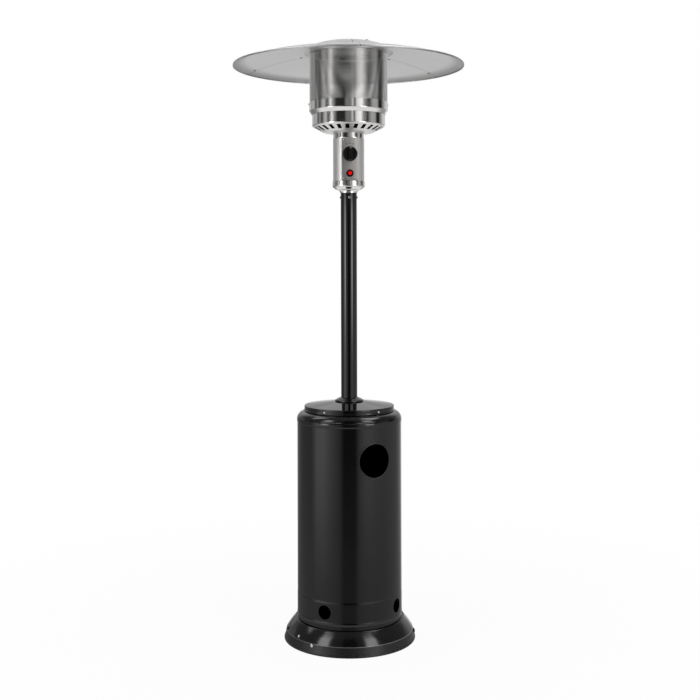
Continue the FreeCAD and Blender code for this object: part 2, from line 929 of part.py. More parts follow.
def emitter_ring():
    """Polished ring, chamfered below, that holds the screen on the bowl."""
    return turned(sheet([
        (bowl_radius + touch_gap + ring_sheet, ring_foot),
        (ring_radius, ring_foot + ring_chamfer),
        (ring_radius, ring_top),
    ], ring_sheet))


def band_screws():
    height = ring_top - band_screw_drop
    return round_heads(band_screw_head, band_screw_depth, ring_radius, band_screw_angles, height)


def emitter_screen():
    return tube(screen_radius, screen_radius - screen_sheet, screen_length, Vec(0, 0, burner_seat))


def emitter_cap():
    """Plate over the screen with a skirt down its outside and a wide opening for the hot gases."""
    cap = turned(sheet([
        (cap_radius, cap_top - cap_skirt),
        (cap_radius, cap_top),
        (cap_opening, cap_top),
    ], cap_sheet))
    return drilled(cap, m8_radius + bolt_gap, crown_screw_places(cap_top))


# Burner

def main_jet():
    """Brass jet: a stub through the neck's floor, a hexagon and a nozzle."""
    stub = rod(jet_stub, jet_stub_length, Vec(0, 0, jet_seat - jet_stub_length))
    nozzle = rod(jet_tip_radius, jet_tip, Vec(0, 0, jet_seat + jet_length))
    return joined([stub, placed(hexagon(jet_hex, jet_length), Vec(0, 0, jet_seat)), nozzle])


def feed_pipe():
    """Straight pipe from the valve's main outlet up into the jet."""
    return rod(feed_radius, jet_seat - jet_stub_length - outlet_top, Vec(0, 0, outlet_top))


def mixing_tube():
    """Straight tube from over the jet up into the burner."""
    foot = bowl_bottom + mixing_rise
    return tube(mixing_radius, mixing_radius - mixing_wall, burner_seat + mixing_top - foot, Vec(0, 0, foot))


def burner_head():
    """Round burner pan on the plate; the flames stand on the gauze that closes it."""
    return turned(sheet([
        (mixing_radius + touch_gap, burner_seat),
        (burner_radius, burner_seat),
        (burner_radius, burner_seat + burner_height),
    ], burner_sheet))


def burner_gauze():
    """Flat gauze that closes the burner pan, here one closed sheet."""
    return rod(burner_radius, gauze_sheet, Vec(0, 0, burner_seat + burner_height))


def pilot_place(along):
    """Place on the burner plate beside the burner, moved along the rim."""
    return at(burner_radius + pilot_gap, pilot_angle, burner_seat) + outward(pilot_angle + 90) * along


def pilot_bracket():
    """Bent strip: a foot on the plate and a short wall behind the three stems."""
    wall_back = pilot_stem + touch_gap
    foot = block(Vec(0, wall_back + bracket_foot / 2, bracket_sheet / 2),
                 (bracket_width, bracket_foot, bracket_sheet))
    wall = block(Vec(0, wall_back + bracket_sheet / 2, bracket_wall / 2),
                 (bracket_width, bracket_sheet, bracket_wall))
    bracket = joined([foot, wall])
    bracket.rotate(Vec(0, 0, 0), UP, pilot_angle)
    bracket.translate(pilot_place(0.0))
    return bracket


def pilot_burner():
    """Pilot burner's stem; the pipe from the valve joins it from below."""
    return rod(pilot_stem, pilot_stem_height, pilot_place(-pilot_pitch))


def gas_line(outlet, along):
    """Thin pipe from a small outlet of the valve through the neck's floor and out to the burner plate."""
    end = pilot_place(along)
    elbow = bowl_bottom + gas_line_rise
    run = [pipe_places(outlet_top)[outlet], pipe_places(elbow)[outlet], Vec(end.x, end.y, elbow), end]
    return bent_rod(run, gas_line_radius, gas_line_bend)


def thermocouple():
    """Probe beside the pilot flame with its copper lead down to the valve, one piece."""
    return joined([rod(probe_radius, probe_height, pilot_place(0.0)), gas_line(1, 0.0)])


def spark_electrode():
    """Ceramic sleeve with a straight wire tip beside the pilot burner."""
    foot = pilot_place(pilot_pitch)
    sleeve = rod(probe_radius, electrode_height, foot)
    return joined([sleeve, rod(electrode_tip, electrode_tip_length, foot + UP * electrode_height)])


# Reflector

def dome_height(radius):
    """Height of the reflector's upper face."""
    share = (1 - (radius / dome_edge) ** dome_power) / (1 - (crown_radius / dome_edge) ** dome_power)
    return dome_foot + dome_rise * share


def dome_radii():
    return [dome_edge + (panel_inner_radius - dome_edge) * i / dome_steps for i in range(dome_steps + 1)]


def dome_section(low, high):
    """Face between two offsets of the dome's upper face."""
    radii = dome_radii()
    top = [(r, dome_height(r) + high) for r in radii]
    bottom = [(r, dome_height(r) + low) for r in radii]
    return outline(top + bottom[::-1])


def rim_section():
    """Face of the turned-down lip with its rounded edge."""
    lip = rim_radius - reflector_sheet
    edge = dome_foot - rim_round / 2
    return outline([
        (lip, rim_height), (rim_radius, rim_height), (rim_radius, edge), (dome_edge, dome_foot),
        (dome_edge, dome_foot - reflector_sheet), (lip, edge - reflector_sheet),
    ])


def reflector_panel(seam):
    """A third of the dome; its far edge steps up over the next panel."""
    share = 360.0 / panel_count
    main = share - joggle_angle - seam_gap_angle
    lift = reflector_sheet + touch_gap
    return joined([
        turned_sector(dome_section(-reflector_sheet, 0), seam, main),
        turned_sector(rim_section(), seam, share - seam_gap_angle),
        turned_sector(dome_section(-reflector_sheet, lift), seam + main, joggle_angle),
        turned_sector(dome_section(touch_gap, lift), seam + main + joggle_angle, lap_angle),
    ])


def panel_stretch(radius):
    """Outer radius and slope of the panel's straight stretch at a radius."""
    radii = dome_radii()
    outer, inner = next(pair for pair in zip(radii[:-1], radii[1:]) if pair[1] <= radius <= pair[0])
    return outer, (dome_height(outer) - dome_height(inner)) / (outer - inner)


def panel_height(radius):
    """Height of the panels' upper face, which is straight between the dome's steps."""
    outer, slope = panel_stretch(radius)
    return dome_height(outer) + slope * (radius - outer)


def seam_screw(radius, angle):
    """Small head against the panels' underside."""
    slope = panel_stretch(radius)[1]
    seat = at(radius, angle, panel_height(radius) - reflector_sheet - seat_gap)
    return placed(rod(seam_screw_head, seam_screw_depth), seat, outward(angle) * slope + DOWN)


def seam_screws():
    middle = (lap_angle - seam_gap_angle) / 2
    return group([seam_screw(radius, seam + middle)
                  for seam in spread(panel_count) for radius in seam_screw_radii])


crown_foot = panel_height(crown_radius) + reflector_sheet + touch_gap
crown_base = crown_foot + reflector_sheet + crown_step


def crown_height(radius):
    """Height of the crown's upper face at its bends."""
    return crown_base + crown_rise * (1 - (radius / crown_radius) ** crown_power)


crown_slope = (crown_base - crown_height(crown_bend)) / (crown_radius - crown_bend)


def crown_top(radius):
    """Upper face of the crown on its outer stretch."""
    return crown_base + crown_slope * (radius - crown_radius)


def reflector_crown():
    """Spun crown over the panels' inner edges: a flange, a step and a shallow dome."""
    top = [(crown_radius, crown_base), (crown_bend, crown_height(crown_bend)), (0, crown_height(0))]
    under = [(radius, height - reflector_sheet) for radius, height in top]
    flange = crown_radius + crown_flange
    flange_foot = crown_foot - panel_height(crown_radius) + panel_height(flange)
    return turned(under[::-1] + [
        (crown_radius, crown_foot), (flange, flange_foot), (flange, flange_foot + reflector_sheet),
    ] + top)


def crown_screw_places(height):
    return [at(crown_screw_circle, angle, height) for angle in spread(panel_count, crown_screw_angle)]


def standoffs():
    """Hexagon standoffs between the screen cap and the crown, each with a threaded stub below."""
    sheet_height = reflector_sheet / math.cos(math.atan(crown_slope))
    under = crown_top(crown_screw_circle + standoff_hex / 2) - sheet_height
    stub = rod(m8_radius, cap_sheet + standoff_nut, Vec(0, 0, 0), DOWN)
    stand = joined([hexagon(standoff_hex, under - cap_top), stub])
    return group([placed(stand, place) for place in crown_screw_places(cap_top)])


def standoff_nuts():
    return group([placed(nut(m8_hex, standoff_nut, m8_radius), place, DOWN)
                  for place in crown_screw_places(cap_top - cap_sheet)])


def crown_screws():
    """Low heads on the crown, tilted to its slope, over the standoffs."""
    head = rod(crown_screw_head, crown_screw_depth)
    places = zip(spread(panel_count, crown_screw_angle), crown_screw_places(crown_top(crown_screw_circle)))
    return group([placed(head, place, UP - outward(angle) * crown_slope) for angle, place in places])


save("base_skirt", base_skirt())
save("base_tray", base_tray())
save("rim_bolts", skirt_heads(rim_bolt_places, rim_bolt_depth))
save("front_screws", skirt_heads(front_screw_places, front_screw_depth))
for number, leg_angle in enumerate(leg_angles, 1):
    save(f"support_leg_{number}", support_leg(leg_angle))
save("leg_foot_bolts", leg_foot_fasteners())
save("post_flange", post_flange())
save("flange_bolts", flange_fasteners())
save("post_tube", post_tube())
save("barrel", barrel())
save("hand_hole_trim", hand_hole_trim_ring())
save("barrel_lid", barrel_lid())
save("lid_screws", lid_screws())
save("post_collar", post_collar())
save("head_base", head_base())
save("post_screws", post_screws())
save("head_cup", head_cup())
save("control_can", control_can())
save("control_panel", control_panel())
save("panel_screws", panel_screws())
save("gas_valve", gas_valve())
save("valve_nut", valve_nut())
save("valve_inlet", valve_inlet())
save("valve_plug", valve_plug())
save("valve_spindle", valve_spindle())
save("control_knob", control_knob())
save("spindle_spring", spindle_spring())
save("igniter_housing", igniter_housing())
save("igniter_nut", igniter_nut())
save("igniter_button", igniter_button())
save("igniter_spring", igniter_spring())
save("tilt_switch", tilt_switch())
save("bowl_neck", bowl_neck())
save("burner_bowl", burner_bowl())
save("burner_plate", burner_plate())
save("emitter_ring", emitter_ring())
save("band_screws", band_screws())
save("emitter_screen", emitter_screen())
save("emitter_cap", emitter_cap())
save("main_jet", main_jet())
save("feed_pipe", feed_pipe())
save("mixing_tube", mixing_tube())
save("burner_head", burner_head())
save("burner_gauze", burner_gauze())
save("pilot_bracket", pilot_bracket())
save("pilot_burner", pilot_burner())
save("thermocouple", thermocouple())
save("spark_electrode", spark_electrode())
save("pilot_pipe", gas_line(0, -pilot_pitch))
for number, seam_angle in enumerate(spread(panel_count), 1):
    save(f"reflector_panel_{number}", reflector_panel(seam_angle))
save("seam_screws", seam_screws())
save("reflector_crown", reflector_crown())
save("standoffs", standoffs())
save("standoff_nuts", standoff_nuts())
save("crown_screws", crown_screws())
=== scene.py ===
import math
import bpy
from mathutils import Matrix, Vector


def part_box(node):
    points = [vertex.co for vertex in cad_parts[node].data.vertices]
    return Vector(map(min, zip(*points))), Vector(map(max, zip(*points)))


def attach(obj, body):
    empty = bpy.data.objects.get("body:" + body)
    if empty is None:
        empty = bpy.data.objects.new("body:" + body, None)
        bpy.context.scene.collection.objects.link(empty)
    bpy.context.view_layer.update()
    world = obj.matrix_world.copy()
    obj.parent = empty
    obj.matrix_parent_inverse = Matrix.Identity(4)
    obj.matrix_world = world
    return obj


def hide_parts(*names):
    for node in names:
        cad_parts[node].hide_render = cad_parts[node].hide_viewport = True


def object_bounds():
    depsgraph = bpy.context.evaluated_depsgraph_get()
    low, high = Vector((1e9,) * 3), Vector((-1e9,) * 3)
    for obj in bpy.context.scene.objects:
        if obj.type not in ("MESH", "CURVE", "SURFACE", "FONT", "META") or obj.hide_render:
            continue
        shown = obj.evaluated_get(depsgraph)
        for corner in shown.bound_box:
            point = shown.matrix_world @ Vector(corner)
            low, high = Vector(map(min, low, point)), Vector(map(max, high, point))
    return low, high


# Patio heater. Lengths here are millimetres until they go into a mesh, where MM makes them metres.
# Angles round the heater are degrees from the front, which is -Y, towards +X.
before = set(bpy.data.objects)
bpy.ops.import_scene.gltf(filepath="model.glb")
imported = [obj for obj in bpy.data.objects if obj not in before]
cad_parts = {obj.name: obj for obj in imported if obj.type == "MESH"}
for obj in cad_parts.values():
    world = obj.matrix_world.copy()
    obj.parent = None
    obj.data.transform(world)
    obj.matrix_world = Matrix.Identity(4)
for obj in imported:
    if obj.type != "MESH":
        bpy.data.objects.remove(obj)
cad_low, cad_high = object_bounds()
MM = 0.001


# Camera
# A level view from four metres away, a little to the left of the panel's own front, with a long lens.
view_distance = 3.972
view_height = 1.3375
view_azimuth = math.radians(-5.5)
view_roll = math.radians(0.14)
photo_side = 700.0
focal_pixels = 1126.0
horizon_pixel = 256.5
axis_pixel = 348.9
bpy.ops.object.select_all(action="DESELECT")
bpy.ops.object.camera_add(
    location=(math.sin(view_azimuth) * view_distance, -math.cos(view_azimuth) * view_distance, view_height),
    rotation=(math.pi / 2, view_roll, view_azimuth),
)
camera = bpy.context.object
camera.data.sensor_width = 36.0
camera.data.lens = focal_pixels / photo_side * camera.data.sensor_width
camera.data.shift_x = (photo_side / 2 - axis_pixel) / photo_side
camera.data.shift_y = (horizon_pixel - photo_side / 2) / photo_side
bpy.context.scene.camera = camera
bpy.context.scene.view_settings.view_transform = "Standard"


# World
# A studio. Camera rays see plain white, and matt surfaces are lit by an even grey. Mirrors see the room:
# bright walls with dark gaps, which tubes draw as upright bars, two soft boxes at eye level and more above.
class Wire:
    """A shader socket. Arithmetic on it adds Math nodes."""

    def __init__(self, tree, socket=None):
        self.tree = tree
        self.socket = socket

    def node(self, kind, settings=(), inputs=(), output=0):
        """Adds a node: its settings first, then the values or links of its sockets."""
        made = self.tree.nodes.new(kind)
        for key, value in dict(settings).items():
            if key == "stops":
                fill_ramp(made.color_ramp, value)
            else:
                setattr(made, key, value)
        for key, value in dict(inputs).items():
            if isinstance(value, Wire):
                self.tree.links.new(value.socket, made.inputs[key])
            else:
                made.inputs[key].default_value = value
        return Wire(self.tree, made.outputs[output])

    def math(self, operation, *others):
        return self.node("ShaderNodeMath", {"operation": operation}, dict(enumerate((self,) + others)))

    def __add__(self, other):
        return self.math("ADD", other)

    def __radd__(self, other):
        return self.math("ADD", other)

    def __sub__(self, other):
        return self.math("SUBTRACT", other)

    def __rsub__(self, other):
        return self.node("ShaderNodeMath", {"operation": "SUBTRACT"}, {0: other, 1: self})

    def __mul__(self, other):
        return self.math("MULTIPLY", other)

    def __rmul__(self, other):
        return self.math("MULTIPLY", other)

    def __truediv__(self, other):
        return self.math("DIVIDE", other)

    def smooth(self, low, high):
        """0 below low, 1 above high and a soft step between."""
        return self.node(
            "ShaderNodeMapRange", {"interpolation_type": "SMOOTHSTEP"},
            {"Value": self, "From Min": low, "From Max": high},
        )


def fill_ramp(ramp, stops):
    while len(ramp.elements) > 1:
        ramp.elements.remove(ramp.elements[-1])
    for number, (place, colour) in enumerate(stops):
        stop = ramp.elements[0] if number == 0 else ramp.elements.new(place)
        stop.position = place
        stop.color = (*colour, 1.0)


# Levels round the room as degrees from the camera's side, positive to the right, and brightness.
# The head mirrors high_room, the post low_room, the barrel's foot floor_room and slopes top_room.
high_room = (
    (-180, 0.6), (-148, 0.6), (-140, 0.33), (-127, 0.5), (-119, 0.4), (-111, 0.07), (-102, 0.33), (-95, 0.06),
    (-90, 0.1), (-84, 0.35), (-77, 0.55), (-67, 0.1), (-61, 0.2), (-54, 0.95), (-47, 0.3), (-36, 0.02),
    (-13, 0.02), (-6, 0.2), (7, 0.2), (12, 0.68), (18, 0.05), (25, 0.85), (38, 1.1), (47, 0.3), (62, 0.03),
    (77, 0.4), (92, 0.38), (99, 0.03), (109, 0.0), (121, 0.28), (140, 0.7), (180, 0.6))
low_room = (
    (-180, 0.5), (-172, 0.5), (-165, 0.25), (-150, 0.16), (-125, 0.14), (-93, 0.22), (-86, 0.35), (-76, 0.82),
    (-60, 0.9), (-40, 0.55), (-23, 0.28), (-17, 0.16), (-13, 0.0), (14, 0.0), (18, 0.2), (24, 0.4),
    (34, 0.58), (45, 0.58), (64, 0.45), (80, 0.37), (94, 0.35), (125, 0.25), (150, 0.35), (165, 0.7),
    (180, 0.5))
floor_room = (
    (-180, 0.75), (-172, 0.75), (-165, 0.25), (-150, 0.16), (-90, 0.42), (-50, 0.46), (-22, 0.38),
    (-14, 0.18), (12, 0.18), (18, 0.38), (50, 0.46), (90, 0.44), (150, 0.3), (165, 0.6), (180, 0.75))
top_room = (
    (-180, 0.85), (-150, 0.85), (-138, 0.4), (-126, 0.2), (-66, 0.22), (-36, 0.2), (-18, 0.14), (-13, 0.0),
    (13, 0.0), (18, 0.14), (36, 0.2), (62, 0.18), (126, 0.2), (138, 0.4), (150, 0.85), (180, 0.85))
low_gain = 1.5
room_grey = 0.62
ground_grey = 0.85
ceiling_grey = 0.28
box_glow = 5.0
box_sides = ((-63, -47), (36, 54))

# Soft boxes higher up: turns and tilts of each, how softly its tilts begin and end, and its brightness.
overheads = (
    ((-114, -98), (36, 66), 2, 2.0), ((70, 125), (54, 76), 3, 4.5), ((-68, -18), (20, 25), 2, 4.0),
    ((18, 60), (20, 25), 2, 4.0), ((-68, -46), (34, 54), 8, 4.5), ((36, 60), (34, 54), 8, 4.5),
    ((-150, -104), (46, 60), 3, 1.6))
world = bpy.context.scene.world or bpy.data.worlds.new("studio")
bpy.context.scene.world = world
world.use_nodes = True
world.cycles.sampling_method = "NONE"
room = Wire(world.node_tree)
background = world.node_tree.nodes["Background"]
direction = room.node("ShaderNodeTexCoord", output="Generated")
across, along, rise = (
    room.node("ShaderNodeSeparateXYZ", inputs={0: direction}, output=axis) for axis in ("X", "Y", "Z"))
side_x = across * math.cos(view_azimuth) + along * math.sin(view_azimuth)
side_y = across * math.sin(view_azimuth) - along * math.cos(view_azimuth)
turn = side_x.math("ARCTAN2", side_y) * (180.0 / math.pi)
tilt = rise.math("ARCSINE") * (180.0 / math.pi)


def room_levels(stops):
    """Brightness round the room from its levels."""
    places = [((angle + 180.0) / 360.0, (level,) * 3) for angle, level in stops]
    return room.node("ShaderNodeValToRGB", {"stops": places}, {0: (turn + 180.0) / 360.0})


def fade(share, first, second):
    return first * (1 - share) + second * share


def patch(wire, span, edge=2.0):
    """1 where a wire is within a span, with soft edges."""
    return wire.smooth(span[0] - edge, span[0] + edge) * (1 - wire.smooth(span[1] - edge, span[1] + edge))


# From the floor up, each room takes over from the one below it between two tilts.
walls = ground_grey
for start, end, room_above in (
        (-38, -24, room_levels(floor_room)), (-18, -9, room_levels(low_room) * low_gain),
        (2, 4, room_levels(high_room)), (14, 19, room_levels(top_room)), (50, 70, ceiling_grey)):
    walls = fade(tilt.smooth(start, end), walls, room_above)
boxes = sum(patch(turn, side) for side in box_sides) * tilt.smooth(-6, 0) * (1 - tilt.smooth(2, 4))
glow = walls + boxes * box_glow
for side, reach, soft, power in overheads:
    glow = glow + patch(turn, side, 3.0) * patch(tilt, reach, soft) * power
seen = room.node("ShaderNodeLightPath", output="Is Camera Ray")
mirrored = room.node("ShaderNodeLightPath", output="Is Glossy Ray")
level = (1 - seen) * fade(mirrored, room_grey, glow) + seen
world.node_tree.links.new(level.socket, background.inputs["Strength"])
background.inputs["Color"].default_value = (1.0, 1.0, 1.0, 1.0)


# Lamps
# Two tall soft boxes in front of the heater, left and right of the camera, and a soft one overhead.
def soft_box(name, angle, distance, width, tall, centre, watts):
    """Tall area lamp at an angle from the camera's side, turned to the post."""
    turned_to = view_azimuth + math.radians(angle)
    place = Vector((math.sin(turned_to) * distance, -math.cos(turned_to) * distance, centre))
    bpy.ops.object.light_add(type="AREA", location=place, rotation=(math.pi / 2, 0, turned_to))
    lamp = bpy.context.object
    lamp.name = name
    lamp.data.shape = "RECTANGLE"
    lamp.data.size = width
    lamp.data.size_y = tall
    lamp.data.energy = watts
    lamp.visible_glossy = False


soft_box("lamp_left", angle=-53.0, distance=2.3, width=0.5, tall=2.9, centre=1.6, watts=13.0)
soft_box("lamp_right", angle=41.0, distance=2.3, width=0.85, tall=2.9, centre=1.6, watts=18.0)
bpy.ops.object.light_add(type="AREA", location=(0, 0, 4.2))
top_lamp = bpy.context.object
top_lamp.name = "lamp_top"
top_lamp.data.size = 3.0
top_lamp.data.energy = 40.0
top_lamp.visible_glossy = False


# Floor
# A plain pale disc. Camera rays see it nearly white, and fading to white at its edge, with the shadow kept.
floor_radius = 2.6
floor_white = 0.94
bpy.ops.mesh.primitive_circle_add(vertices=128, radius=floor_radius, fill_type="NGON", location=(0, 0, 0))
floor = bpy.context.object
floor.name = "floor"
floor_material = bpy.data.materials.new("pale_floor")
floor_material.use_nodes = True
floor_nodes = floor_material.node_tree
ground = Wire(floor_nodes)
floor_place = ground.node("ShaderNodeTexCoord", output="Object")
floor_reach = ground.node("ShaderNodeVectorMath", {"operation": "LENGTH"}, {0: floor_place}, "Value")
paper = ground.node("ShaderNodeBsdfDiffuse", inputs={"Color": (0.8, 0.8, 0.8, 1.0)})
white = ground.node("ShaderNodeEmission", inputs={"Color": (1.0, 1.0, 1.0, 1.0), "Strength": 1.0})
floor_seen = ground.node("ShaderNodeLightPath", output="Is Camera Ray")
whiteness = floor_seen * fade(floor_reach.smooth(0.3, floor_radius - 0.1), floor_white, 1.0)
mixed = ground.node("ShaderNodeMixShader", inputs={0: whiteness, 1: paper, 2: white})
floor_nodes.links.new(mixed.socket, floor_nodes.nodes["Material Output"].inputs["Surface"])
floor.data.materials.append(floor_material)
floor.visible_glossy = False


# Base skirt
# Pressed steel ring, powder coated black: a thick rolled hem on the floor, a steep band, a cone and the
# ledge that the barrel stands on. It is bolted to the tray inside it, and a pale line is painted along its
# crease as a highlight.
def box_of(node):
    """Low and high corner of a CAD node's box, in millimetres."""
    return tuple(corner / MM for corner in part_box(node))


def rounded(corners, longest=1e9):
    """Points of an outline from corners (radius, height, rounding); no run is longer than longest."""
    places = [Vector(corner[:2]) for corner in corners]
    points = []
    for number, here in enumerate(places):
        rounding = corners[number][2] if len(corners[number]) > 2 else 0.0
        if rounding:
            before = (places[number - 1] - here).normalized()
            after = (places[(number + 1) % len(places)] - here).normalized()
            half = before.angle(after) / 2
            middle = here + (before + after).normalized() * rounding / math.sin(half)
            start = here + before * rounding / math.tan(half) - middle
            end = here + after * rounding / math.tan(half) - middle
            sweep = start.angle_signed(end)
            pieces = max(2, round(abs(sweep) / math.radians(11)))
            for step in range(pieces + 1):
                turn_by = Matrix.Rotation(-sweep * step / pieces, 2)
                points.append(middle + turn_by @ start)
        else:
            points.append(here)
    spaced = [points[0]]
    for point in points[1:]:
        last = spaced[-1]
        parts = max(1, math.ceil((point - last).length / longest))
        spaced += [last.lerp(point, part / parts) for part in range(1, parts + 1)]
    return spaced


def draw(points):
    """A line of vertices in the plane through the axis, drawn by extruding one point after the other."""
    bpy.ops.object.select_all(action="DESELECT")
    bpy.ops.mesh.primitive_plane_add(size=0.1)
    bpy.ops.object.mode_set(mode="EDIT")
    bpy.ops.mesh.select_all(action="SELECT")
    bpy.ops.mesh.merge(type="CENTER")
    bpy.ops.transform.translate(value=(points[0].x * MM, 0, points[0].y * MM))
    for last, point in zip(points[:-1], points[1:]):
        step = (point - last) * MM
        bpy.ops.mesh.extrude_region_move(TRANSFORM_OT_translate={"value": (step.x, 0, step.y)})


def modify(piece, kind, **settings):
    """Adds a modifier with its settings and applies it."""
    bpy.context.view_layer.objects.active = piece
    added = piece.modifiers.new(kind.lower(), kind)
    for key, value in settings.items():
        setattr(added, key, value)
    bpy.ops.object.modifier_apply(modifier=added.name)


def turned(corners, wall=0.0, steps=192, longest=1e9, sweep=360.0, start=0.0):
    """Turned piece. A path with a wall is a sheet with its wall on the path's left; without, it is closed."""
    points = rounded(corners, longest)
    if not wall:
        points.append(points[0])
    draw(points)
    bpy.ops.mesh.select_all(action="SELECT")
    bpy.ops.mesh.spin(steps=steps, angle=math.radians(sweep), center=(0, 0, 0), axis=(0, 0, 1))
    bpy.ops.mesh.select_all(action="SELECT")
    bpy.ops.mesh.remove_doubles(threshold=1e-6)
    if not wall:
        bpy.ops.mesh.normals_make_consistent(inside=False)
    bpy.ops.object.mode_set(mode="OBJECT")
    piece = bpy.context.object
    piece.data.transform(Matrix.Rotation(math.radians(start - 90.0), 4, "Z"))
    if wall:
        modify(piece, "SOLIDIFY", thickness=wall * MM, offset=-1.0, use_even_offset=True)
    return piece


def join(*pieces):
    """One object from several."""
    bpy.ops.object.select_all(action="DESELECT")
    for piece in pieces:
        piece.select_set(True)
    bpy.context.view_layer.objects.active = pieces[0]
    bpy.ops.object.join()
    return bpy.context.object


def finished(piece, name, material, slot, body, *nodes, smooth=28.0):
    """Names a piece, applies its place, smooths it and ties it to the frame."""
    piece.name = name
    piece.data.name = name
    bpy.ops.object.select_all(action="DESELECT")
    piece.select_set(True)
    bpy.context.view_layer.objects.active = piece
    bpy.ops.object.transform_apply(location=True, rotation=True, scale=True)
    bpy.ops.object.shade_smooth_by_angle(angle=math.radians(smooth))
    piece.data.materials.clear()
    piece.data.materials.append(material)
    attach(piece, body)
    if nodes:
        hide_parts(*nodes)
    return piece


def new_material(name):
    """Material with its shader, and the place on the piece as a wire."""
    material = bpy.data.materials.new(name)
    material.use_nodes = True
    tree = material.node_tree
    place = Wire(tree).node("ShaderNodeTexCoord", output="Object")
    return material, tree.nodes["Principled BSDF"], place


def feed(shader, **values):
    """Links what varies and sets what doesn't on the shader's own sockets."""
    for key, value in values.items():
        socket = shader.inputs[key.replace("_", " ")]
        if isinstance(value, Wire):
            value.tree.links.new(value.socket, socket)
        else:
            socket.default_value = value


def speckle(place, size, detail=2.0, stretch=(1.0, 1.0, 1.0), roughness=0.5):
    """Noise from 0 to 1 with grains about size millimetres across, drawn out along the axes."""
    scaled = place.node(
        "ShaderNodeMapping", inputs={"Vector": place, "Scale": tuple(1.0 / s for s in stretch)})
    return place.node(
        "ShaderNodeTexNoise", inputs={
            "Vector": scaled, "Scale": 1000.0 / size, "Detail": detail, "Roughness": roughness})


def blend_colours(share, first, second):
    first, second = (colour if isinstance(colour, Wire) else (*colour, 1.0) for colour in (first, second))
    return share.node("ShaderNodeMix", {"data_type": "RGBA"}, {0: share, 6: first, 7: second}, 2)


def bumped(height, depth):
    """Normal from a height from 0 to 1 that stands depth millimetres."""
    return height.node("ShaderNodeBump", inputs={"Height": height, "Distance": depth * MM}, output="Normal")


def powder_coat(name, gloss, dusty=0.2, peel_depth=0.002, scuff_and_highlight_height=-10.0):
    """Black powder coat: orange peel, faint cloudiness and a little dust. Below a height it is scuffed
    dull, and at that height a pale line is painted all round as a highlight."""
    material, shader, place = new_material(name)
    height = place.node("ShaderNodeSeparateXYZ", inputs={0: place}, output="Z")
    scuffed = 1 - height.smooth((scuff_and_highlight_height - 2.0) * MM, scuff_and_highlight_height * MM)
    # Painted highlight: a pale line all round at that height stands in for the crease's bright edge.
    painted_crease_highlight = patch(height, ((scuff_and_highlight_height - 0.8) * MM, (scuff_and_highlight_height + 1.2) * MM), 0.5 * MM)
    cloud = speckle(place, 160.0, 3.0)
    peel = speckle(place, 3.2, 2.0)
    dust = speckle(place, 9.0, 6.0, roughness=0.7).smooth(0.56, 0.8)
    paint = blend_colours(cloud * 0.3 + dust * dusty, (0.002, 0.002, 0.002), (0.012, 0.012, 0.0115))
    feed(
        shader, Base_Color=blend_colours(painted_crease_highlight * cloud, paint, (0.24, 0.24, 0.235)),
        Roughness=cloud * 0.03 + dust * dusty * 0.25 + scuffed * 0.25 + gloss, Metallic=0.0,
        Normal=bumped(peel, peel_depth), IOR=1.5)
    return material


coat = powder_coat("black_powder_coat", 0.11)
skirt_high = box_of("base_skirt")[1]
foot_radius = skirt_high.x
skirt_top = skirt_high.z
skirt_sheet = 1.5
hem_height = 6.0
hem_width = 4.5
hem_round = 2.1
band_foot = foot_radius - 2.0
crease = (222.3, 33.8)
cone_top = (189.6, skirt_top)
ledge_drop = 3.1
ledge_width = 12.0
cone_swell = 1.3
cone_middle = ((crease[0] + cone_top[0]) / 2 + cone_swell, (crease[1] + cone_top[1]) / 2 + cone_swell * 0.6)
skirt_wall = turned([
    (band_foot, hem_height / 2), (*crease, 3.0), (*cone_middle, 170.0), (*cone_top, 2.5),
    (cone_top[0] - ledge_drop, skirt_top - ledge_drop, 0.8),
    (cone_top[0] - ledge_drop - ledge_width, skirt_top - ledge_drop),
], skirt_sheet, steps=256, longest=4.0)
hem = turned([
    (foot_radius - hem_width, 0, hem_round), (foot_radius, 0, hem_round),
    (foot_radius, hem_height, hem_round), (foot_radius - hem_width, hem_height, hem_round),
], steps=256)
# The skirt's painted highlight line sits at its crease.
skirt_coat = powder_coat("black_skirt_coat", 0.11, scuff_and_highlight_height=crease[1])
finished(join(skirt_wall, hem), "skirt", skirt_coat, "black_coat", "root", "base_skirt")


# Rim bolts
# Black domed steel bolts through the skirt into the tray's flange, two in its band and one above the crease.
def screw_head(radius, rise, round_off, recess=0.0):
    """Domed head about the Z axis with its seat at the origin, and a cross recess if asked."""
    seat = -0.6
    head = turned([
        (0, seat), (radius, seat), (radius, rise * 0.35, rise * 0.25), (radius - round_off, rise, rise),
        (0, rise),
    ], steps=32)
    if recess:
        bpy.ops.object.select_all(action="DESELECT")
        bars = []
        for bar_turn in (0.0, math.pi / 2):
            bpy.ops.mesh.primitive_cube_add(size=1.0, location=(0, 0, rise * MM), rotation=(0, 0, bar_turn))
            bar = bpy.context.object
            bar.scale = (recess * MM, recess * 0.24 * MM, rise * MM)
            bars.append(bar)
        cutter = join(*bars)
        modify(head, "BOOLEAN", object=cutter, operation="DIFFERENCE", solver="EXACT", use_self=True)
        bpy.data.objects.remove(cutter)
    return head


def aimed(radius, angle, height, tilt=0.0):
    """Matrix that puts +Z outward at a radius, an angle from the front and a height."""
    turn_round = Matrix.Rotation(math.radians(angle), 4, "Z")
    outward = Matrix.Rotation(math.radians(90.0 - tilt), 4, "X")
    return turn_round @ Matrix.Translation((0, -radius * MM, height * MM)) @ outward


def on_skirt(angle, height):
    """Place on the skirt's band, or above the crease on its cone."""
    foot, top = ((band_foot, hem_height), crease) if height < crease[1] else (crease, cone_top)
    slope = (foot[0] - top[0]) / (top[1] - foot[1])
    return aimed(foot[0] - slope * (height - foot[1]), angle, height, math.degrees(math.atan(slope)))


def copies(piece, places):
    """One object with the piece at each of the places."""
    made = []
    for place in places:
        copy = piece.copy()
        copy.data = piece.data.copy()
        bpy.context.scene.collection.objects.link(copy)
        copy.data.transform(place)
        made.append(copy)
    bpy.data.objects.remove(piece)
    return join(*made)


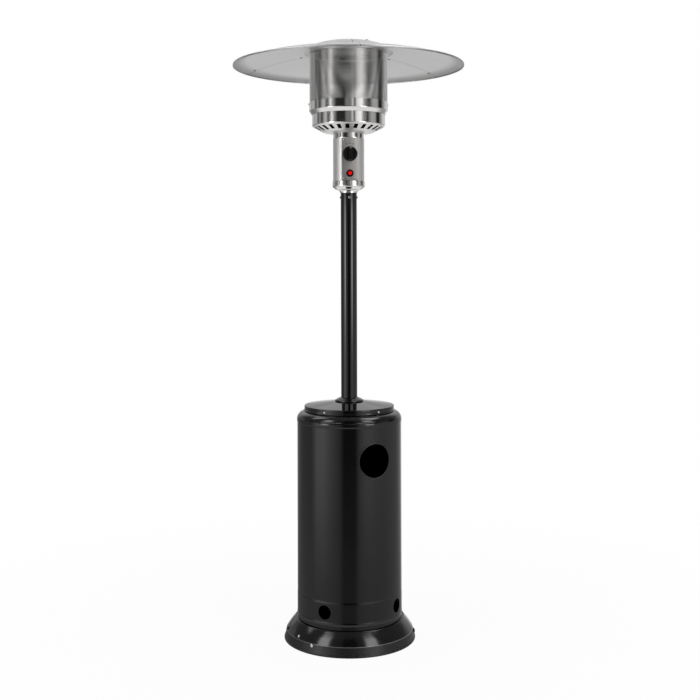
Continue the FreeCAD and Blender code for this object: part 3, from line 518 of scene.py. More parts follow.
finished(
    copies(screw_head(9.0, 5.0, 5.0), [on_skirt(80.0, 24.8), on_skirt(-86.0, 41.5), on_skirt(167.5, 24.0)]),
    "rim_bolt_heads", coat, "black_screw", "root", "rim_bolts")


# Front screws
# Two bright zinc domed screws at the left of the front, the larger in the band, the smaller in the cone.
def bare_steel(name, colour, gloss, grain=0.03, scratch=0.02):
    """Bare or plated steel with a faint grain."""
    material, shader, place = new_material(name)
    cloud = speckle(place, 60.0, 3.0)
    fine = speckle(place, 0.9, 2.0)
    tone = tuple(part * 0.86 for part in colour)
    feed(
        shader, Base_Color=blend_colours(cloud, tone, colour), Metallic=1.0,
        Roughness=cloud * grain + gloss, Normal=bumped(fine, scratch))
    return material


zinc_screw = bare_steel("bright_screw", (0.86, 0.85, 0.83), 0.22)
front_heads = [
    copies(screw_head(4.8, 6.0, 3.4), [on_skirt(-58.5, 42.0)]),
    copies(screw_head(5.6, 6.0, 4.0), [on_skirt(-40.4, 28.5)])]
finished(join(*front_heads), "front_screw_heads", zinc_screw, "bright_screw", "root", "front_screws")


# Bottle barrel
# Rolled steel sheet round the gas bottle, powder coated black: a raised band near the foot and one at the
# top, a rounded shoulder, four round air holes and a hand hole for the bottle's tap.
barrel_low, barrel_high = box_of("barrel")
band_step = 1.2
barrel_radius = barrel_high.x - band_step
barrel_foot = barrel_low.z
barrel_top = barrel_high.z
barrel_sheet = 0.9
step_tall = 3.6
bead_drop = 0.7
bead_tall = 5.0
foot_step = 6.5
low_band = (96.0, 167.0)
high_band = 761.0
shoulder_round = 28.0
barrel_mouth = 150.0
raised = barrel_radius + band_step
barrel_shell = turned([
    (barrel_radius, barrel_foot), (barrel_radius, low_band[0] - foot_step, 2.4), (raised, low_band[0], 2.0),
    (raised - bead_drop, low_band[0] + bead_tall, 4.0), (raised - bead_drop, low_band[1] - step_tall, 4.0),
    (barrel_radius, low_band[1] + step_tall, 4.0),
    (barrel_radius, high_band - step_tall, 2.4), (raised, high_band, 2.4),
    (raised, barrel_top, shoulder_round), (barrel_mouth, barrel_top),
], barrel_sheet, steps=256, longest=5.0)


def cut_round(piece, radius, depth, place):
    """Cuts a cylinder, centred at a place, out of a piece."""
    bpy.ops.object.select_all(action="DESELECT")
    bpy.ops.mesh.primitive_cylinder_add(vertices=96, radius=radius * MM, depth=depth * MM)
    cutter = bpy.context.object
    cutter.data.transform(place)
    modify(piece, "BOOLEAN", object=cutter, operation="DIFFERENCE", solver="EXACT")
    bpy.data.objects.remove(cutter)


vent_radius = 24.0
vent_height = 133.0
vent_first = -33.4
hand_hole_radius = 57.0
hand_hole_angle = 23.4
hand_hole_height = 645.0
cut_depth = 60.0
for number in range(4):
    vent_angle = vent_first + 90.0 * number
    cut_round(barrel_shell, vent_radius, cut_depth, aimed(barrel_radius, vent_angle, vent_height))
cut_round(barrel_shell, hand_hole_radius, cut_depth, aimed(barrel_radius, hand_hole_angle, hand_hole_height))
finished(barrel_shell, "barrel_shell", coat, "black_coat", "barrel_assembly", "barrel")


# Hand hole ring
# Thin black trim pressed round the hand hole's edge; it follows the barrel's curve.
trim_width = 6.0
trim_rise = 1.3
trim_depth = 2.0
trim_radius = hand_hole_radius + trim_width
hand_ring = turned([
    (hand_hole_radius, -trim_depth), (trim_radius, -trim_depth),
    (trim_radius, trim_rise - 0.4, 0.4), (trim_radius - 1.6, trim_rise, 1.0),
    (hand_hole_radius + 1.0, trim_rise, 0.8), (hand_hole_radius, trim_rise - 0.8, 0.3),
], steps=128)
for vertex in hand_ring.data.vertices:
    vertex.co.z -= barrel_radius * MM - math.sqrt((barrel_radius * MM) ** 2 - vertex.co.x ** 2)
hand_ring.data.transform(aimed(barrel_radius, hand_hole_angle, hand_hole_height))
trim_coat = powder_coat("black_trim_coat", 0.3)
finished(hand_ring, "hand_hole_ring", trim_coat, "black_trim", "barrel_assembly", "hand_hole_trim")


# Barrel lid
# Pressed steel lid with a deep rim and a gentle crown, screwed to the barrel; it slides on the post.
lid_low, lid_high = box_of("barrel_lid")
lid_radius = lid_high.x
lid_rim_top = lid_low.z + 19.0
lid_hole = 33.0
lid_sheet = 1.2
lid_bead_top = lid_low.z + 4.5
rim_inset = 1.4
lid_crown = turned([
    (barrel_mouth, lid_low.z), (lid_radius, lid_low.z, 1.8), (lid_radius, lid_bead_top, 0.8),
    (lid_radius - rim_inset, lid_bead_top + 1.6, 0.8), (lid_radius - rim_inset, lid_rim_top, 3.2),
    (60.0, lid_high.z - 0.3, 160.0), (lid_hole, lid_high.z),
], lid_sheet, steps=256, longest=3.0)
lid_coat = powder_coat("black_lid_coat", 0.02, 0.05, 0.0005)
finished(lid_crown, "lid", lid_coat, "black_coat", "barrel_assembly", "barrel_lid")


# Lid screws
# Bright zinc pan heads round the lid's rim, which hold it to the barrel.
lid_screw_height = lid_low.z + 8.0
lid_screw_first = -38.0
lid_screw_places = [
    aimed(lid_radius - 1.2, lid_screw_first + 72.0 * number, lid_screw_height) for number in range(5)]
finished(
    copies(screw_head(4.2, 3.0, 2.6, 4.0), lid_screw_places),
    "lid_screw_heads", zinc_screw, "bright_screw", "barrel_assembly", "lid_screws")


# Post collar
# Flared black steel ring, powder coated, that stands on the lid and hides the gap round the post.
collar_low, collar_high = box_of("post_collar")
collar_radius = collar_high.x
collar_bore = 29.1
collar_neck = 31.5
collar = turned([
    (collar_bore, collar_low.z), (collar_radius, collar_low.z, 0.8), (collar_radius, collar_low.z + 5.0, 3.0),
    (collar_neck + 7.0, collar_high.z - 3.0, 9.0), (collar_neck, collar_high.z, 0.9),
    (collar_bore, collar_high.z),
], steps=128)
finished(collar, "collar", coat, "black_coat", "barrel_assembly", "post_collar")


# Post
# Round steel tube, powder coated, from the flange over the bottle up into the head's neck.
post_low, post_high = box_of("post_tube")
post_radius = post_high.x
post_wall = 1.5
post_pipe = turned([
    (post_radius - post_wall, post_low.z), (post_radius, post_low.z), (post_radius, post_high.z),
    (post_radius - post_wall, post_high.z),
], steps=128, longest=60.0)
post_coat = powder_coat("black_post_coat", 0.05, 0.04, 0.0008)
finished(post_pipe, "post_pipe", post_coat, "black_coat", "root", "post_tube")


# Post screws
# Four dull zinc pan heads that hold the head's spigot in the post.
dull_screw = bare_steel("dull_screw", (0.36, 0.36, 0.35), 0.42)
post_screw_height = post_high.z - 15.4
post_screw_places = [aimed(post_radius, 90.0 * number, post_screw_height) for number in range(4)]
finished(
    copies(screw_head(5.0, 3.4, 3.0, 4.6), post_screw_places),
    "post_screw_heads", dull_screw, "bright_screw", "root", "post_screws")


# Head cup
# Polished stainless cup that closes the head below: a neck on the post, a swept floor and a short wall.
def inner_side(place):
    """1 on faces that look towards the axis."""
    facing = place.node("ShaderNodeNewGeometry", output="True Normal")
    outward = place.node("ShaderNodeVectorMath", {"operation": "DOT_PRODUCT"}, {0: place, 1: facing}, "Value")
    upward = facing.node("ShaderNodeSeparateXYZ", inputs={0: facing}, output="Z")
    height = place.node("ShaderNodeSeparateXYZ", inputs={0: place}, output="Z")
    return 1 - (outward - upward * height).smooth(-0.002, 0.0)


# Dark brown for insides, partly heat stain and partly painted shade, and also the ink of printed ticks.
stain_shade_and_ink_brown = (0.035, 0.028, 0.022)


def polished_steel(name, gloss, satin_below=0.0):
    """Mirror polished stainless steel with faint polishing lines round the piece and a few dull clouds.
    Below a height it is left satin, and its inside is darkened brown, partly heat stain and partly painted
    shade."""
    material, shader, place = new_material(name)
    cloud = speckle(place, 45.0, 4.0)
    lines = speckle(place, 60.0, 3.0, stretch=(1.0, 1.0, 0.012))
    height = place.node("ShaderNodeSeparateXYZ", inputs={0: place}, output="Z")
    satin = 1 - height.smooth((satin_below - 1.5) * MM, (satin_below + 0.5) * MM)
    # Faces towards the axis are darkened brown: partly heat stain, partly painted shade.
    inside = inner_side(place)
    clean = blend_colours(cloud, (0.74, 0.73, 0.72), (0.83, 0.82, 0.81))
    feed(
        shader, Base_Color=blend_colours(inside, clean, stain_shade_and_ink_brown), Metallic=1.0,
        Roughness=cloud * 0.04 + lines * 0.04 + satin * 0.3 + inside * 0.4 + gloss,
        Normal=bumped(lines, 0.004))
    return material


mirror_steel = polished_steel("polished_steel", 0.05)
cup_low, cup_high = box_of("head_cup")
cup_radius = cup_high.x
cup_neck = 31.0
head_sheet = 1.2
cup = turned([
    (post_radius - post_wall, cup_low.z), (cup_neck, cup_low.z, 0.8), (cup_neck, cup_low.z + 4.5, 1.5),
    (37.0, cup_low.z + 9.5, 3.0), (46.0, cup_low.z + 12.0, 6.0), (cup_radius - 1.0, cup_low.z + 20.0, 3.0),
    (cup_radius, cup_low.z + 23.0, 3.0), (cup_radius, cup_high.z),
], head_sheet, steps=128, longest=2.0)
finished(cup, "cup", mirror_steel, "polished_steel", "root", "head_cup")


# Control can
# Can of satin stainless sheet with one flat for the panel. It stands in the cup and holds valve and igniter.
def satin_steel(
        name, gloss, stretch, grain=1.2, depth=0.008, dark=(0.56, 0.55, 0.54), light=(0.74, 0.73, 0.72),
        burnt_and_shaded=0.0, dial=None):
    """Brushed stainless steel; the grain is drawn out along the stretch. Burnt_and_shaded is how far its
    inside is darkened brown, partly heat stain and partly painted shade.
    A dial is the (height, radius) of three printed ticks over a knob."""
    material, shader, place = new_material(name)
    cloud = speckle(place, 30.0, 4.0)
    brush = speckle(place, grain, 4.0, stretch=stretch, roughness=0.65)
    # The inside is darkened brown: partly heat stain, partly painted shade.
    brown = inner_side(place) * burnt_and_shaded
    if dial:
        dial_height, tick_foot = dial
        x, z = (place.node("ShaderNodeSeparateXYZ", inputs={0: place}, output=axis) for axis in ("X", "Z"))
        x, z = x / MM, z / MM - dial_height
        reach = (x * x + z * z).math("SQRT")
        swing = x.math("ARCTAN2", z) * (180.0 / math.pi)
        ticks = sum(patch(swing, (middle - 3.0, middle + 3.0), 1.0) for middle in (-18.0, 0.0, 18.0))
        brown = ticks * patch(reach, (tick_foot, tick_foot + 5.0), 0.4) * 0.8
    clean = blend_colours(brush * 0.6 + cloud * 0.4, dark, light)
    feed(
        shader, Base_Color=blend_colours(brown, clean, stain_shade_and_ink_brown), Metallic=1.0,
        Roughness=brush * 0.14 + cloud * 0.05 + gloss, Normal=bumped(brush, depth))
    return material


can_steel = satin_steel(
    "satin_steel", 0.32, (1.0, 1.0, 30.0), dark=(0.74, 0.73, 0.72), light=(0.9, 0.89, 0.88))
can_low, can_high = box_of("control_can")
can_radius = can_high.x
can_flat = -can_low.y
bpy.ops.object.select_all(action="DESELECT")
bpy.ops.mesh.primitive_cylinder_add(
    vertices=160, radius=can_radius * MM, depth=(can_high.z - can_low.z) * MM, end_fill_type="NOTHING")
bpy.ops.object.mode_set(mode="EDIT")
bpy.ops.mesh.select_all(action="SELECT")
bpy.ops.mesh.bisect(plane_co=(0, -can_flat * MM, 0), plane_no=(0, -1, 0), clear_outer=True)
bpy.ops.object.mode_set(mode="OBJECT")
can = bpy.context.object
for edge in can.data.edges:
    edge.select = all(abs(can.data.vertices[end].co.y + can_flat * MM) < 1e-6 for end in edge.vertices)
bpy.ops.object.mode_set(mode="EDIT")
bpy.ops.mesh.select_mode(type="EDGE")
bpy.ops.mesh.bridge_edge_loops()
bpy.ops.mesh.select_mode(type="VERT")
bpy.ops.mesh.select_all(action="SELECT")
bpy.ops.mesh.normals_make_consistent(inside=False)
bpy.ops.object.mode_set(mode="OBJECT")
can.data.transform(Matrix.Translation((0, 0, (can_low.z + can_high.z) / 2 * MM)))
modify(can, "SOLIDIFY", thickness=head_sheet * MM, offset=-1.0, use_even_offset=True)
finished(can, "can", can_steel, "satin_steel", "root", "control_can", smooth=20.0)


# Control panel
# Flat plate of brushed stainless steel, screwed on the can's flat, with the knob and the igniter through it
# and three printed ticks over the knob.
def plate(low, high, edge):
    """Flat plate between two corners with its edges bevelled."""
    bpy.ops.object.select_all(action="DESELECT")
    bpy.ops.mesh.primitive_cube_add(size=1.0, location=(low + high) / 2 * MM)
    made = bpy.context.object
    made.scale = (high - low) * MM
    bpy.ops.object.transform_apply(location=True, rotation=True, scale=True)
    modify(made, "BEVEL", width=edge * MM, segments=3)
    return made


knob_low, knob_high = box_of("control_knob")
knob_radius = knob_high.x
knob_height = (knob_low.z + knob_high.z) / 2
panel_steel = satin_steel(
    "brushed_panel", 0.32, (30.0, 1.0, 1.0), grain=0.9, dark=(0.45, 0.435, 0.42), light=(0.61, 0.595, 0.58),
    dial=(knob_height, knob_radius + 8.0))
panel_low, panel_high = box_of("control_panel")
panel = plate(panel_low, panel_high, 0.4)
finished(panel, "panel_plate", panel_steel, "satin_steel", "root", "control_panel")


# Panel screws
# Small bright zinc heads at the plate's corners, which hold it on the can.
panel_front = -panel_low.y
facing_front = Matrix.Rotation(math.pi / 2, 4, "X")
panel_head = 2.6
screw_low, screw_high = box_of("panel_screws")
panel_screw_x = screw_high.x - panel_head
panel_screw_places = [
    Matrix.Translation((x * MM, -panel_front * MM, z * MM)) @ facing_front
    for x in (-panel_screw_x, panel_screw_x) for z in (screw_low.z + panel_head, screw_high.z - panel_head)]
finished(
    copies(screw_head(panel_head, 1.4, 1.4, 2.4), panel_screw_places),
    "panel_screw_heads", zinc_screw, "bright_screw", "root", "panel_screws")


# Control knob
# Black moulded plastic knob: a round skirt, a tall grip bar across it and a pale pointer dot. It sits on the
# valve's spindle and is hollow behind, with room for the nut and the spring.
def moulded(name, colour, gloss, shine=0.5, dot=None):
    """Moulded plastic with a fine spark texture, and a pale dot at a place if asked."""
    material, shader, place = new_material(name)
    cloud = speckle(place, 12.0, 3.0)
    spark = speckle(place, 0.5, 2.0)
    lighter = tuple(min(1.0, part * 1.3 + 0.001) for part in colour)
    tone = blend_colours(cloud, colour, lighter)
    if dot:
        away = place.node("ShaderNodeVectorMath", {"operation": "DISTANCE"}, {0: place, 1: dot}, "Value")
        tone = blend_colours(1 - away.smooth(1.4 * MM, 1.8 * MM), tone, (0.6, 0.6, 0.58))
    feed(
        shader, Base_Color=tone, Metallic=0.0,
        Roughness=cloud * 0.1 + gloss, Normal=bumped(spark, 0.012), Specular_IOR_Level=shine)
    return material


black_plastic = moulded("black_plastic", (0.002, 0.002, 0.002), 0.3, 0.2)
knob_back = knob_high.y
knob_length = knob_high.y - knob_low.y
knob_skirt = 9.0
grip_width = 15.0
grip_span = 2 * knob_radius - 5.0
grip_taper = (0.72, 0.93)
knob_room = 14.0
knob_room_depth = knob_back - box_of("spindle_spring")[0].y
knob_disc = turned([
    (0, 0), (knob_radius, 0, 0.6), (knob_radius, 2.4, 0.8), (knob_radius - 1.8, knob_skirt, 1.6),
    (grip_width / 2 + 2.0, knob_skirt - 1.2, 3.0), (0, knob_skirt - 1.2),
], steps=96)
bpy.ops.object.select_all(action="DESELECT")
bpy.ops.mesh.primitive_cube_add(size=1.0, location=(0, 0, knob_length / 2 * MM))
grip = bpy.context.object
grip.scale = (grip_width * MM, grip_span * MM, knob_length * MM)
bpy.ops.object.transform_apply(location=True, rotation=True, scale=True)
for vertex in grip.data.vertices:
    if vertex.co.z > knob_length / 2 * MM:
        vertex.co.x *= grip_taper[0]
        vertex.co.y *= grip_taper[1]
modify(grip, "BEVEL", width=2.2 * MM, segments=5)
for part in (knob_disc, grip):
    cut_round(part, knob_room, 2 * knob_room_depth, Matrix.Identity(4))
knob = join(knob_disc, grip)
knob.data.transform(Matrix.Translation((0, knob_back * MM, knob_height * MM)) @ facing_front)
pointer_height = knob_height + grip_span / 2 * grip_taper[1] - 3.0
knob_plastic = moulded(
    "marked_plastic", (0.002, 0.002, 0.002), 0.3, 0.2, dot=(0, knob_low.y * MM, pointer_height * MM))
finished(knob, "knob", knob_plastic, "black_plastic", "knob", "control_knob")


# Igniter
# Black moulded housing, put in from the front and held by a nut behind the panel, with a round collar and a
# red push button.
igniter_collar = 13.0
housing_low, housing_high = box_of("igniter_housing")
igniter_height = (housing_low.z + housing_high.z) / 2
button_low, button_high = box_of("igniter_button")
button_radius = button_high.x - 1.3
collar_rise = -housing_low.y - panel_front
housing_radius = 10.0
housing_depth = 20.0
housing = turned([
    (button_radius + 0.05, -housing_depth), (housing_radius, -housing_depth), (housing_radius, 0),
    (igniter_collar, 0, 0.4), (igniter_collar, collar_rise * 0.5, 0.8),
    (igniter_collar - 1.5, collar_rise, 1.2), (button_radius + 1.2, collar_rise, 0.5),
    (button_radius + 0.3, collar_rise - 1.2, 0.3),
], steps=64)
front_place = Matrix.Translation((0, -panel_front * MM, igniter_height * MM)) @ facing_front
housing.data.transform(front_place)
finished(housing, "igniter_collar", black_plastic, "black_plastic", "root", "igniter_housing")
button_rise = -button_low.y - panel_front
button = turned([
    (0, -8.0), (button_radius, -8.0), (button_radius, button_rise - 1.0, 1.6),
    (button_radius - 3.0, button_rise, 3.0), (0, button_rise - 0.6),
], steps=64)
button.data.transform(front_place)
red_plastic = moulded("red_plastic", (0.9, 0.001, 0.002), 0.4, 0.1)
finished(button, "red_button", red_plastic, "red_plastic", "push_button", "igniter_button")


# Bowl neck
# Polished stainless ring, pressed, between the can and the burner bowl.
neck_low, neck_high = box_of("bowl_neck")
neck_radius = neck_high.x
pipe_hole = 9.1
neck_ring = turned([
    (pipe_hole, neck_low.z), (neck_radius, neck_low.z, 1.5), (neck_radius, neck_high.z),
], head_sheet, steps=128, longest=2.0)
finished(neck_ring, "neck_ring", mirror_steel, "polished_steel", "root", "bowl_neck")


# Burner bowl
# Spun stainless bowl, polished: a floor, a cone with a ring of radial air slots and an upright wall.
bowl_low, bowl_high = box_of("burner_bowl")
bowl_radius = bowl_high.x
bowl_sheet = 1.0
cone_height = 1796.0
bowl = turned([
    (40.0, bowl_low.z), (86.0, bowl_low.z + 2.0, 12.0), (bowl_radius, cone_height, 4.0),
    (bowl_radius, bowl_high.z),
], bowl_sheet, steps=192, longest=3.0)
slot_count = 24
slot_width = 13.5
slot_inner = 96.0
slot_outer = 121.0
slot_height = 1785.0
bpy.ops.object.select_all(action="DESELECT")
bpy.ops.mesh.primitive_cube_add(size=1.0)
slot = bpy.context.object
slot.scale = (slot_width * MM, (slot_outer - slot_inner) * MM, cut_depth * MM)
bpy.ops.object.transform_apply(location=True, rotation=True, scale=True)
slot_places = [
    Matrix.Rotation(math.radians(360.0 * (number + 0.5) / slot_count), 4, "Z")
    @ Matrix.Translation((0, -(slot_inner + slot_outer) / 2 * MM, slot_height * MM))
    for number in range(slot_count)]
slots = copies(slot, slot_places)
modify(bowl, "BOOLEAN", object=slots, operation="DIFFERENCE", solver="EXACT")
bpy.data.objects.remove(slots)
bowl_steel = polished_steel("bowl_steel", 0.05, cone_height)
finished(bowl, "bowl", bowl_steel, "polished_steel", "root", "burner_bowl")


# Emitter ring
# Polished stainless ring, chamfered below, that stands on the bowl and carries the screen.
ring_low, ring_high = box_of("emitter_ring")
ring_radius = ring_high.x
ring_foot = ring_low.z - 2.0
ring_top = ring_high.z - 4.5
ring = turned([
    (bowl_radius + 1.3, ring_foot), (ring_radius, ring_low.z + 11.0, 3.0), (ring_radius, ring_top),
], head_sheet, steps=192, longest=3.0)
finished(ring, "ring", mirror_steel, "polished_steel", "root", "emitter_ring")


# Band screws
# Bright zinc domed heads at the sides and back of the ring, which hold the screen in it.
band_screw_height = 1872.6
band_screw_places = [aimed(ring_radius, angle, band_screw_height) for angle in (90.0, 180.0, -90.0)]
finished(
    copies(screw_head(5.0, 3.0, 3.0, 4.6), band_screw_places),
    "band_screw_heads", zinc_screw, "bright_screw", "root", "band_screws")


# Emitter screen
# Perforated stainless sheet rolled into a tube; the staggered round holes are cut through.
screen_low, screen_high = box_of("emitter_screen")
screen_radius = screen_high.x
screen_sheet = 0.8
columns = 136
pitch = 2 * math.pi * screen_radius / columns
row_height = pitch * math.sqrt(3) / 2
rows = math.floor((screen_high.z - screen_low.z - pitch) / (2 * row_height))
hole_share = 0.5
bpy.ops.object.select_all(action="DESELECT")
bpy.ops.mesh.primitive_circle_add(vertices=6, radius=pitch / math.sqrt(3) * MM, fill_type="NGON")
bpy.ops.object.mode_set(mode="EDIT")
bpy.ops.mesh.select_all(action="SELECT")
bpy.ops.mesh.inset(thickness=pitch * MM * (1 - hole_share) / 2)
bpy.ops.mesh.delete(type="FACE")
bpy.ops.object.mode_set(mode="OBJECT")
cell = bpy.context.object
cell.data.transform(
    Matrix.Translation((0, -screen_radius * MM, (screen_low.z + pitch / 2) * MM)) @ facing_front)
half_step = Matrix.Rotation(math.pi / columns, 4, "Z") @ Matrix.Translation((0, 0, row_height * MM))
pair = copies(cell, [Matrix.Identity(4), half_step])
bpy.ops.object.empty_add(location=(0, 0, 0), rotation=(0, 0, 2 * math.pi / columns))
turner = bpy.context.object
bpy.context.view_layer.update()
modify(pair, "ARRAY", count=rows, use_relative_offset=False, use_constant_offset=True,
       constant_offset_displace=(0, 0, 2 * row_height * MM))
modify(pair, "ARRAY", count=columns, use_relative_offset=False, use_object_offset=True, offset_object=turner)
bpy.data.objects.remove(turner)
bpy.ops.object.select_all(action="DESELECT")
pair.select_set(True)
bpy.context.view_layer.objects.active = pair
bpy.ops.object.mode_set(mode="EDIT")
bpy.ops.mesh.select_all(action="SELECT")
bpy.ops.mesh.remove_doubles(threshold=5e-5)
bpy.ops.object.mode_set(mode="OBJECT")
modify(pair, "SOLIDIFY", thickness=screen_sheet * MM, offset=0.0)
# The screen's inside is darkened brown, partly heat stain and partly painted shade seen through the holes.
screen_steel = satin_steel("perforated_steel", 0.1, (1.0, 1.0, 6.0), grain=2.0, burnt_and_shaded=1.0)
finished(pair, "screen", screen_steel, "perforated_steel", "root", "emitter_screen")


# Screen cap
# Pressed stainless plate over the screen, in a darker tone than the can, with a wide opening for the hot
# gases.
cap_low, cap_high = box_of("emitter_cap")
cap_opening = 80.0
cap = turned([
    (cap_high.x, cap_low.z), (cap_high.x, cap_high.z, 1.8), (cap_opening, cap_high.z),
], head_sheet, steps=192, longest=3.0)
cap_steel = satin_steel(
    "dull_cap_steel", 0.3, (1.0, 1.0, 6.0), dark=(0.4, 0.39, 0.38), light=(0.56, 0.55, 0.54))
finished(cap, "screen_cap", cap_steel, "satin_steel", "root", "emitter_cap")


# Reflector panels
# Three sectors of aluminium sheet, pressed to a shallow dome with a turned-down rim, lapped and screwed.
# The polished steel under them is made to mirror the bright room and not these sheets.
def aluminium(name, gloss, tone):
    """Mill finish aluminium with faint blotches, and painted shade along the three seams between the panels.
    Below it has painted shade towards the rim; above it is weathered further in, with a painted highlight
    along the rim."""
    material, shader, place = new_material(name)
    cloud = speckle(place, 90.0, 4.0)
    fine = speckle(place, 1.4, 3.0)
    lighter = tuple(min(1.0, part * 1.2) for part in tone)
    x, y = (place.node("ShaderNodeSeparateXYZ", inputs={0: place}, output=axis) for axis in ("X", "Y"))
    facing = place.node("ShaderNodeNewGeometry", output="True Normal")
    outside = facing.node("ShaderNodeSeparateXYZ", inputs={0: facing}, output="Z").smooth(-0.05, 0.05)
    reach = (x * x + y * y).math("SQRT")
    # Painted shade: the underside is darkened towards the rim.
    painted_rim_shade = reach.smooth(0.35, 0.4) * (1 - outside) * (cloud * 0.4 + 0.5)
    # Painted highlight: the top is lighter along the rim; it is also a little less rough there.
    rim_polish_and_painted_highlight = reach.smooth(0.3, 0.34) * outside
    weathered = reach.smooth(0.17, 0.19) * (outside - rim_polish_and_painted_highlight) * 0.6
    clean = blend_colours(rim_polish_and_painted_highlight, blend_colours(cloud * 0.7 + fine * 0.3, tone, lighter), (0.66, 0.66, 0.66))
    sheet = blend_colours(painted_rim_shade + weathered, clean, (0.2, 0.195, 0.19))
    off_seam = [
        (x * math.cos(seam_turn) + y * math.sin(seam_turn)).math("ABSOLUTE") * (1.0 / MM)
        + (x * math.sin(seam_turn) - y * math.cos(seam_turn)).smooth(0.002, 0.0) * 9.0
        for seam_turn in (math.radians(120.0 * number) for number in range(3))]
    nearest = off_seam[0].math("MINIMUM", off_seam[1]).math("MINIMUM", off_seam[2])
    # Painted shade: the laps between the panels are darkened.
    painted_seam_shade = (1 - nearest.smooth(0.4, 2.2)) * (cloud * 0.5 + 0.5)
    feed(
        shader, Base_Color=blend_colours(painted_seam_shade, sheet, (0.12, 0.11, 0.1)), Metallic=1.0,
        Roughness=cloud * 0.1 - rim_polish_and_painted_highlight * 0.05 + gloss, Normal=bumped(fine, 0.01))
    return material


sheet_metal = aluminium("reflector_sheet", 0.42, (0.58, 0.58, 0.58))
rim_radius = cad_high.x / MM
rim_height = box_of("reflector_panel_1")[0].z
reflector_sheet = 1.2
rim_lip = 7.0
dome_foot = rim_height + rim_lip
dome_edge = rim_radius - 4.0
dome_outer = dome_edge - 4.0
dome_rise = 43.0
dome_power = 2.6
dome_steps = 20
crown_edge = 168.0
panel_edge = 158.0
dome_scale = dome_rise / (1 - (crown_edge / dome_edge) ** dome_power)
touch = 0.1


def dome(radius):
    """Height of the panels' upper side."""
    return dome_foot + dome_scale * (1 - (radius / dome_edge) ** dome_power)


dome_radii = [dome_outer - (dome_outer - panel_edge) * step / dome_steps for step in range(dome_steps + 1)]
dome_path = [(rim_radius, rim_height), (rim_radius, dome_foot - 0.4, 3.6)]
dome_path += [(radius, dome(radius)) for radius in dome_radii]

# Each panel ends in a joggle: past joggle_start its sheet steps up over its neighbour's, and the step fades
# out at the rim. An angle near 360 belongs to the panel's other edge.
lap_angle = 2.6
joggle_start = 119.4
joggle_turn = 0.7
joggle_fade = 6.0
for number in range(3):
    seam = 120.0 * number
    panel = turned(dome_path, reflector_sheet, steps=96, sweep=120.0 + lap_angle, start=seam)
    for vertex in panel.data.vertices:
        reach = math.hypot(vertex.co.x, vertex.co.y) / MM
        angle = (math.degrees(math.atan2(vertex.co.x, -vertex.co.y)) - seam) % 360.0
        over = min(max((angle - joggle_start) / joggle_turn, 0.0), 1.0) if angle < 130.0 else 0.0
        inside = min(max((dome_edge - 2.0 - reach) / joggle_fade, 0.0), 1.0)
        vertex.co.z += over * inside * (reflector_sheet + touch) * MM
    finished(
        panel, f"dome_panel_{number + 1}", sheet_metal, "reflector_sheet", "root",
        f"reflector_panel_{number + 1}")
    panel.visible_glossy = False


# Seam screws
# Small dark steel heads under each lap, one near the rim and one near the crown.
def on_dome(height_of, radius, angle, sink=0.0, flip=0.0):
    """Place square to a dome at a radius and an angle, sunk into it; a flip of pi hangs it below."""
    slope = (height_of(radius - 1.0) - height_of(radius + 1.0)) / 2
    place = Matrix.Translation((0, -radius * MM, (height_of(radius) - sink) * MM))
    tipped = Matrix.Rotation(flip + math.atan(slope), 4, "X")
    return Matrix.Rotation(math.radians(angle), 4, "Z") @ place @ tipped


lap_middle = 1.27
dark_screw = bare_steel("dark_screw", (0.2, 0.2, 0.2), 0.4)
seam_places = [
    on_dome(dome, radius, 120.0 * number + lap_middle, reflector_sheet, math.pi)
    for number in range(3) for radius in (373.0, 184.0)]
finished(
    copies(screw_head(4.5, 2.2, 3.0), seam_places),
    "seam_screw_heads", dark_screw, "bright_screw", "root", "seam_screws")


# Reflector crown
# Spun aluminium crown over the panels' inner edges, with a flange, a step and a shallow dome.
crown_high = box_of("reflector_crown")[1]
crown_flange = crown_high.x
crown_rise = 35.0
crown_foot = crown_high.z - crown_rise
crown_steps = 18
over_panels = 2 * reflector_sheet + touch


def crown_top(radius):
    """Height of the crown's upper side inside its step."""
    return crown_foot + crown_rise * (1 - (radius / crown_edge) ** dome_power)


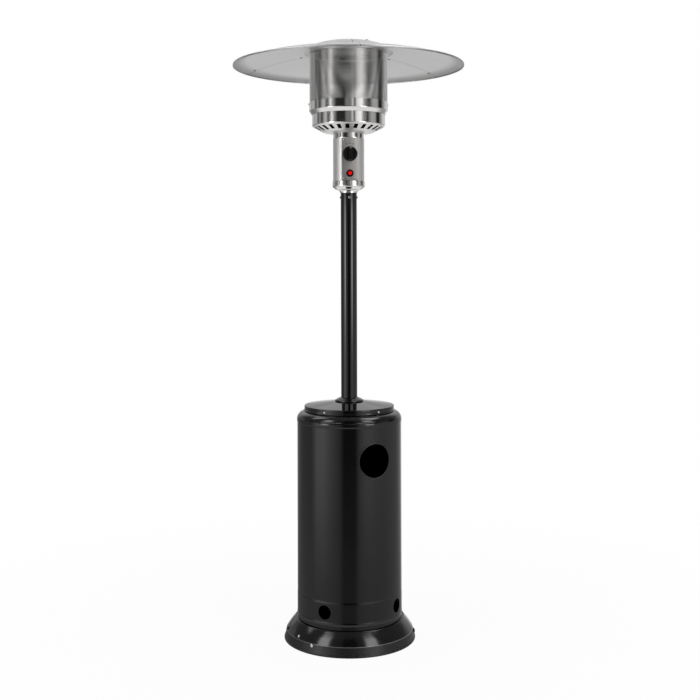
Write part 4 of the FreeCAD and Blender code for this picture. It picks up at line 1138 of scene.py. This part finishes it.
crown_radii = [crown_edge * (1 - step / crown_steps) for step in range(1, crown_steps + 1)]
crown_path = [
    (crown_flange, dome(crown_flange) + over_panels), (crown_edge + 2.0, dome(crown_edge) + over_panels, 1.5),
    (crown_edge, crown_foot - 1.0, 1.5)]
crown_path += [(radius, crown_top(radius)) for radius in crown_radii]
crown = turned(crown_path, reflector_sheet, steps=192)
finished(crown, "crown", sheet_metal, "reflector_sheet", "root", "reflector_crown")
crown.visible_glossy = False


# Crown screws
# Low zinc heads on the crown, screwed into the tops of the standoffs.
standoff_radius = 112.0
crown_places = [on_dome(crown_top, standoff_radius, 30.0 + 120.0 * number) for number in range(3)]
finished(
    copies(screw_head(7.0, 3.6, 4.0, 6.0), crown_places),
    "crown_screw_heads", zinc_screw, "bright_screw", "root", "crown_screws")


# Inner pieces
# Tray, legs, flange, valve, burner and pilot group keep their solids and get the finish of the real ones; the
# burner group's dark finish is partly heat stain and soot, partly painted shade.
zinc_plate = bare_steel("zinc_plate", (0.62, 0.63, 0.64), 0.38)
inner_finishes = {
    coat: ("base_tray", "support_leg_1", "support_leg_2", "support_leg_3", "post_flange"),
    zinc_plate: ("leg_foot_bolts", "flange_bolts", "head_base", "standoffs", "standoff_nuts", "pilot_bracket",
                 "igniter_nut", "valve_spindle"),
    bare_steel("brass", (0.78, 0.6, 0.28), 0.25): ("main_jet", "valve_nut", "valve_inlet", "valve_plug"),
    bare_steel("aluminium_casting", (0.66, 0.66, 0.66), 0.45): ("gas_valve", "feed_pipe", "pilot_pipe"),
    bare_steel("copper", (0.8, 0.42, 0.3), 0.25): ("thermocouple",),
    can_steel: ("spindle_spring", "igniter_spring"),
    # Partly heat stain and soot, partly painted shade inside the bowl: the burner parts are darkened.
    bare_steel("heat_stained_and_shaded_steel", (0.05, 0.042, 0.035), 0.5): (
        "mixing_tube", "burner_head", "burner_gauze", "burner_plate", "pilot_burner"),
    moulded("ceramic", (0.75, 0.72, 0.66), 0.35): ("spark_electrode",),
    black_plastic: ("tilt_switch",),
}
for finish, names in inner_finishes.items():
    for node in names:
        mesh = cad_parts[node].data
        mesh.materials.clear()
        mesh.materials.append(finish)
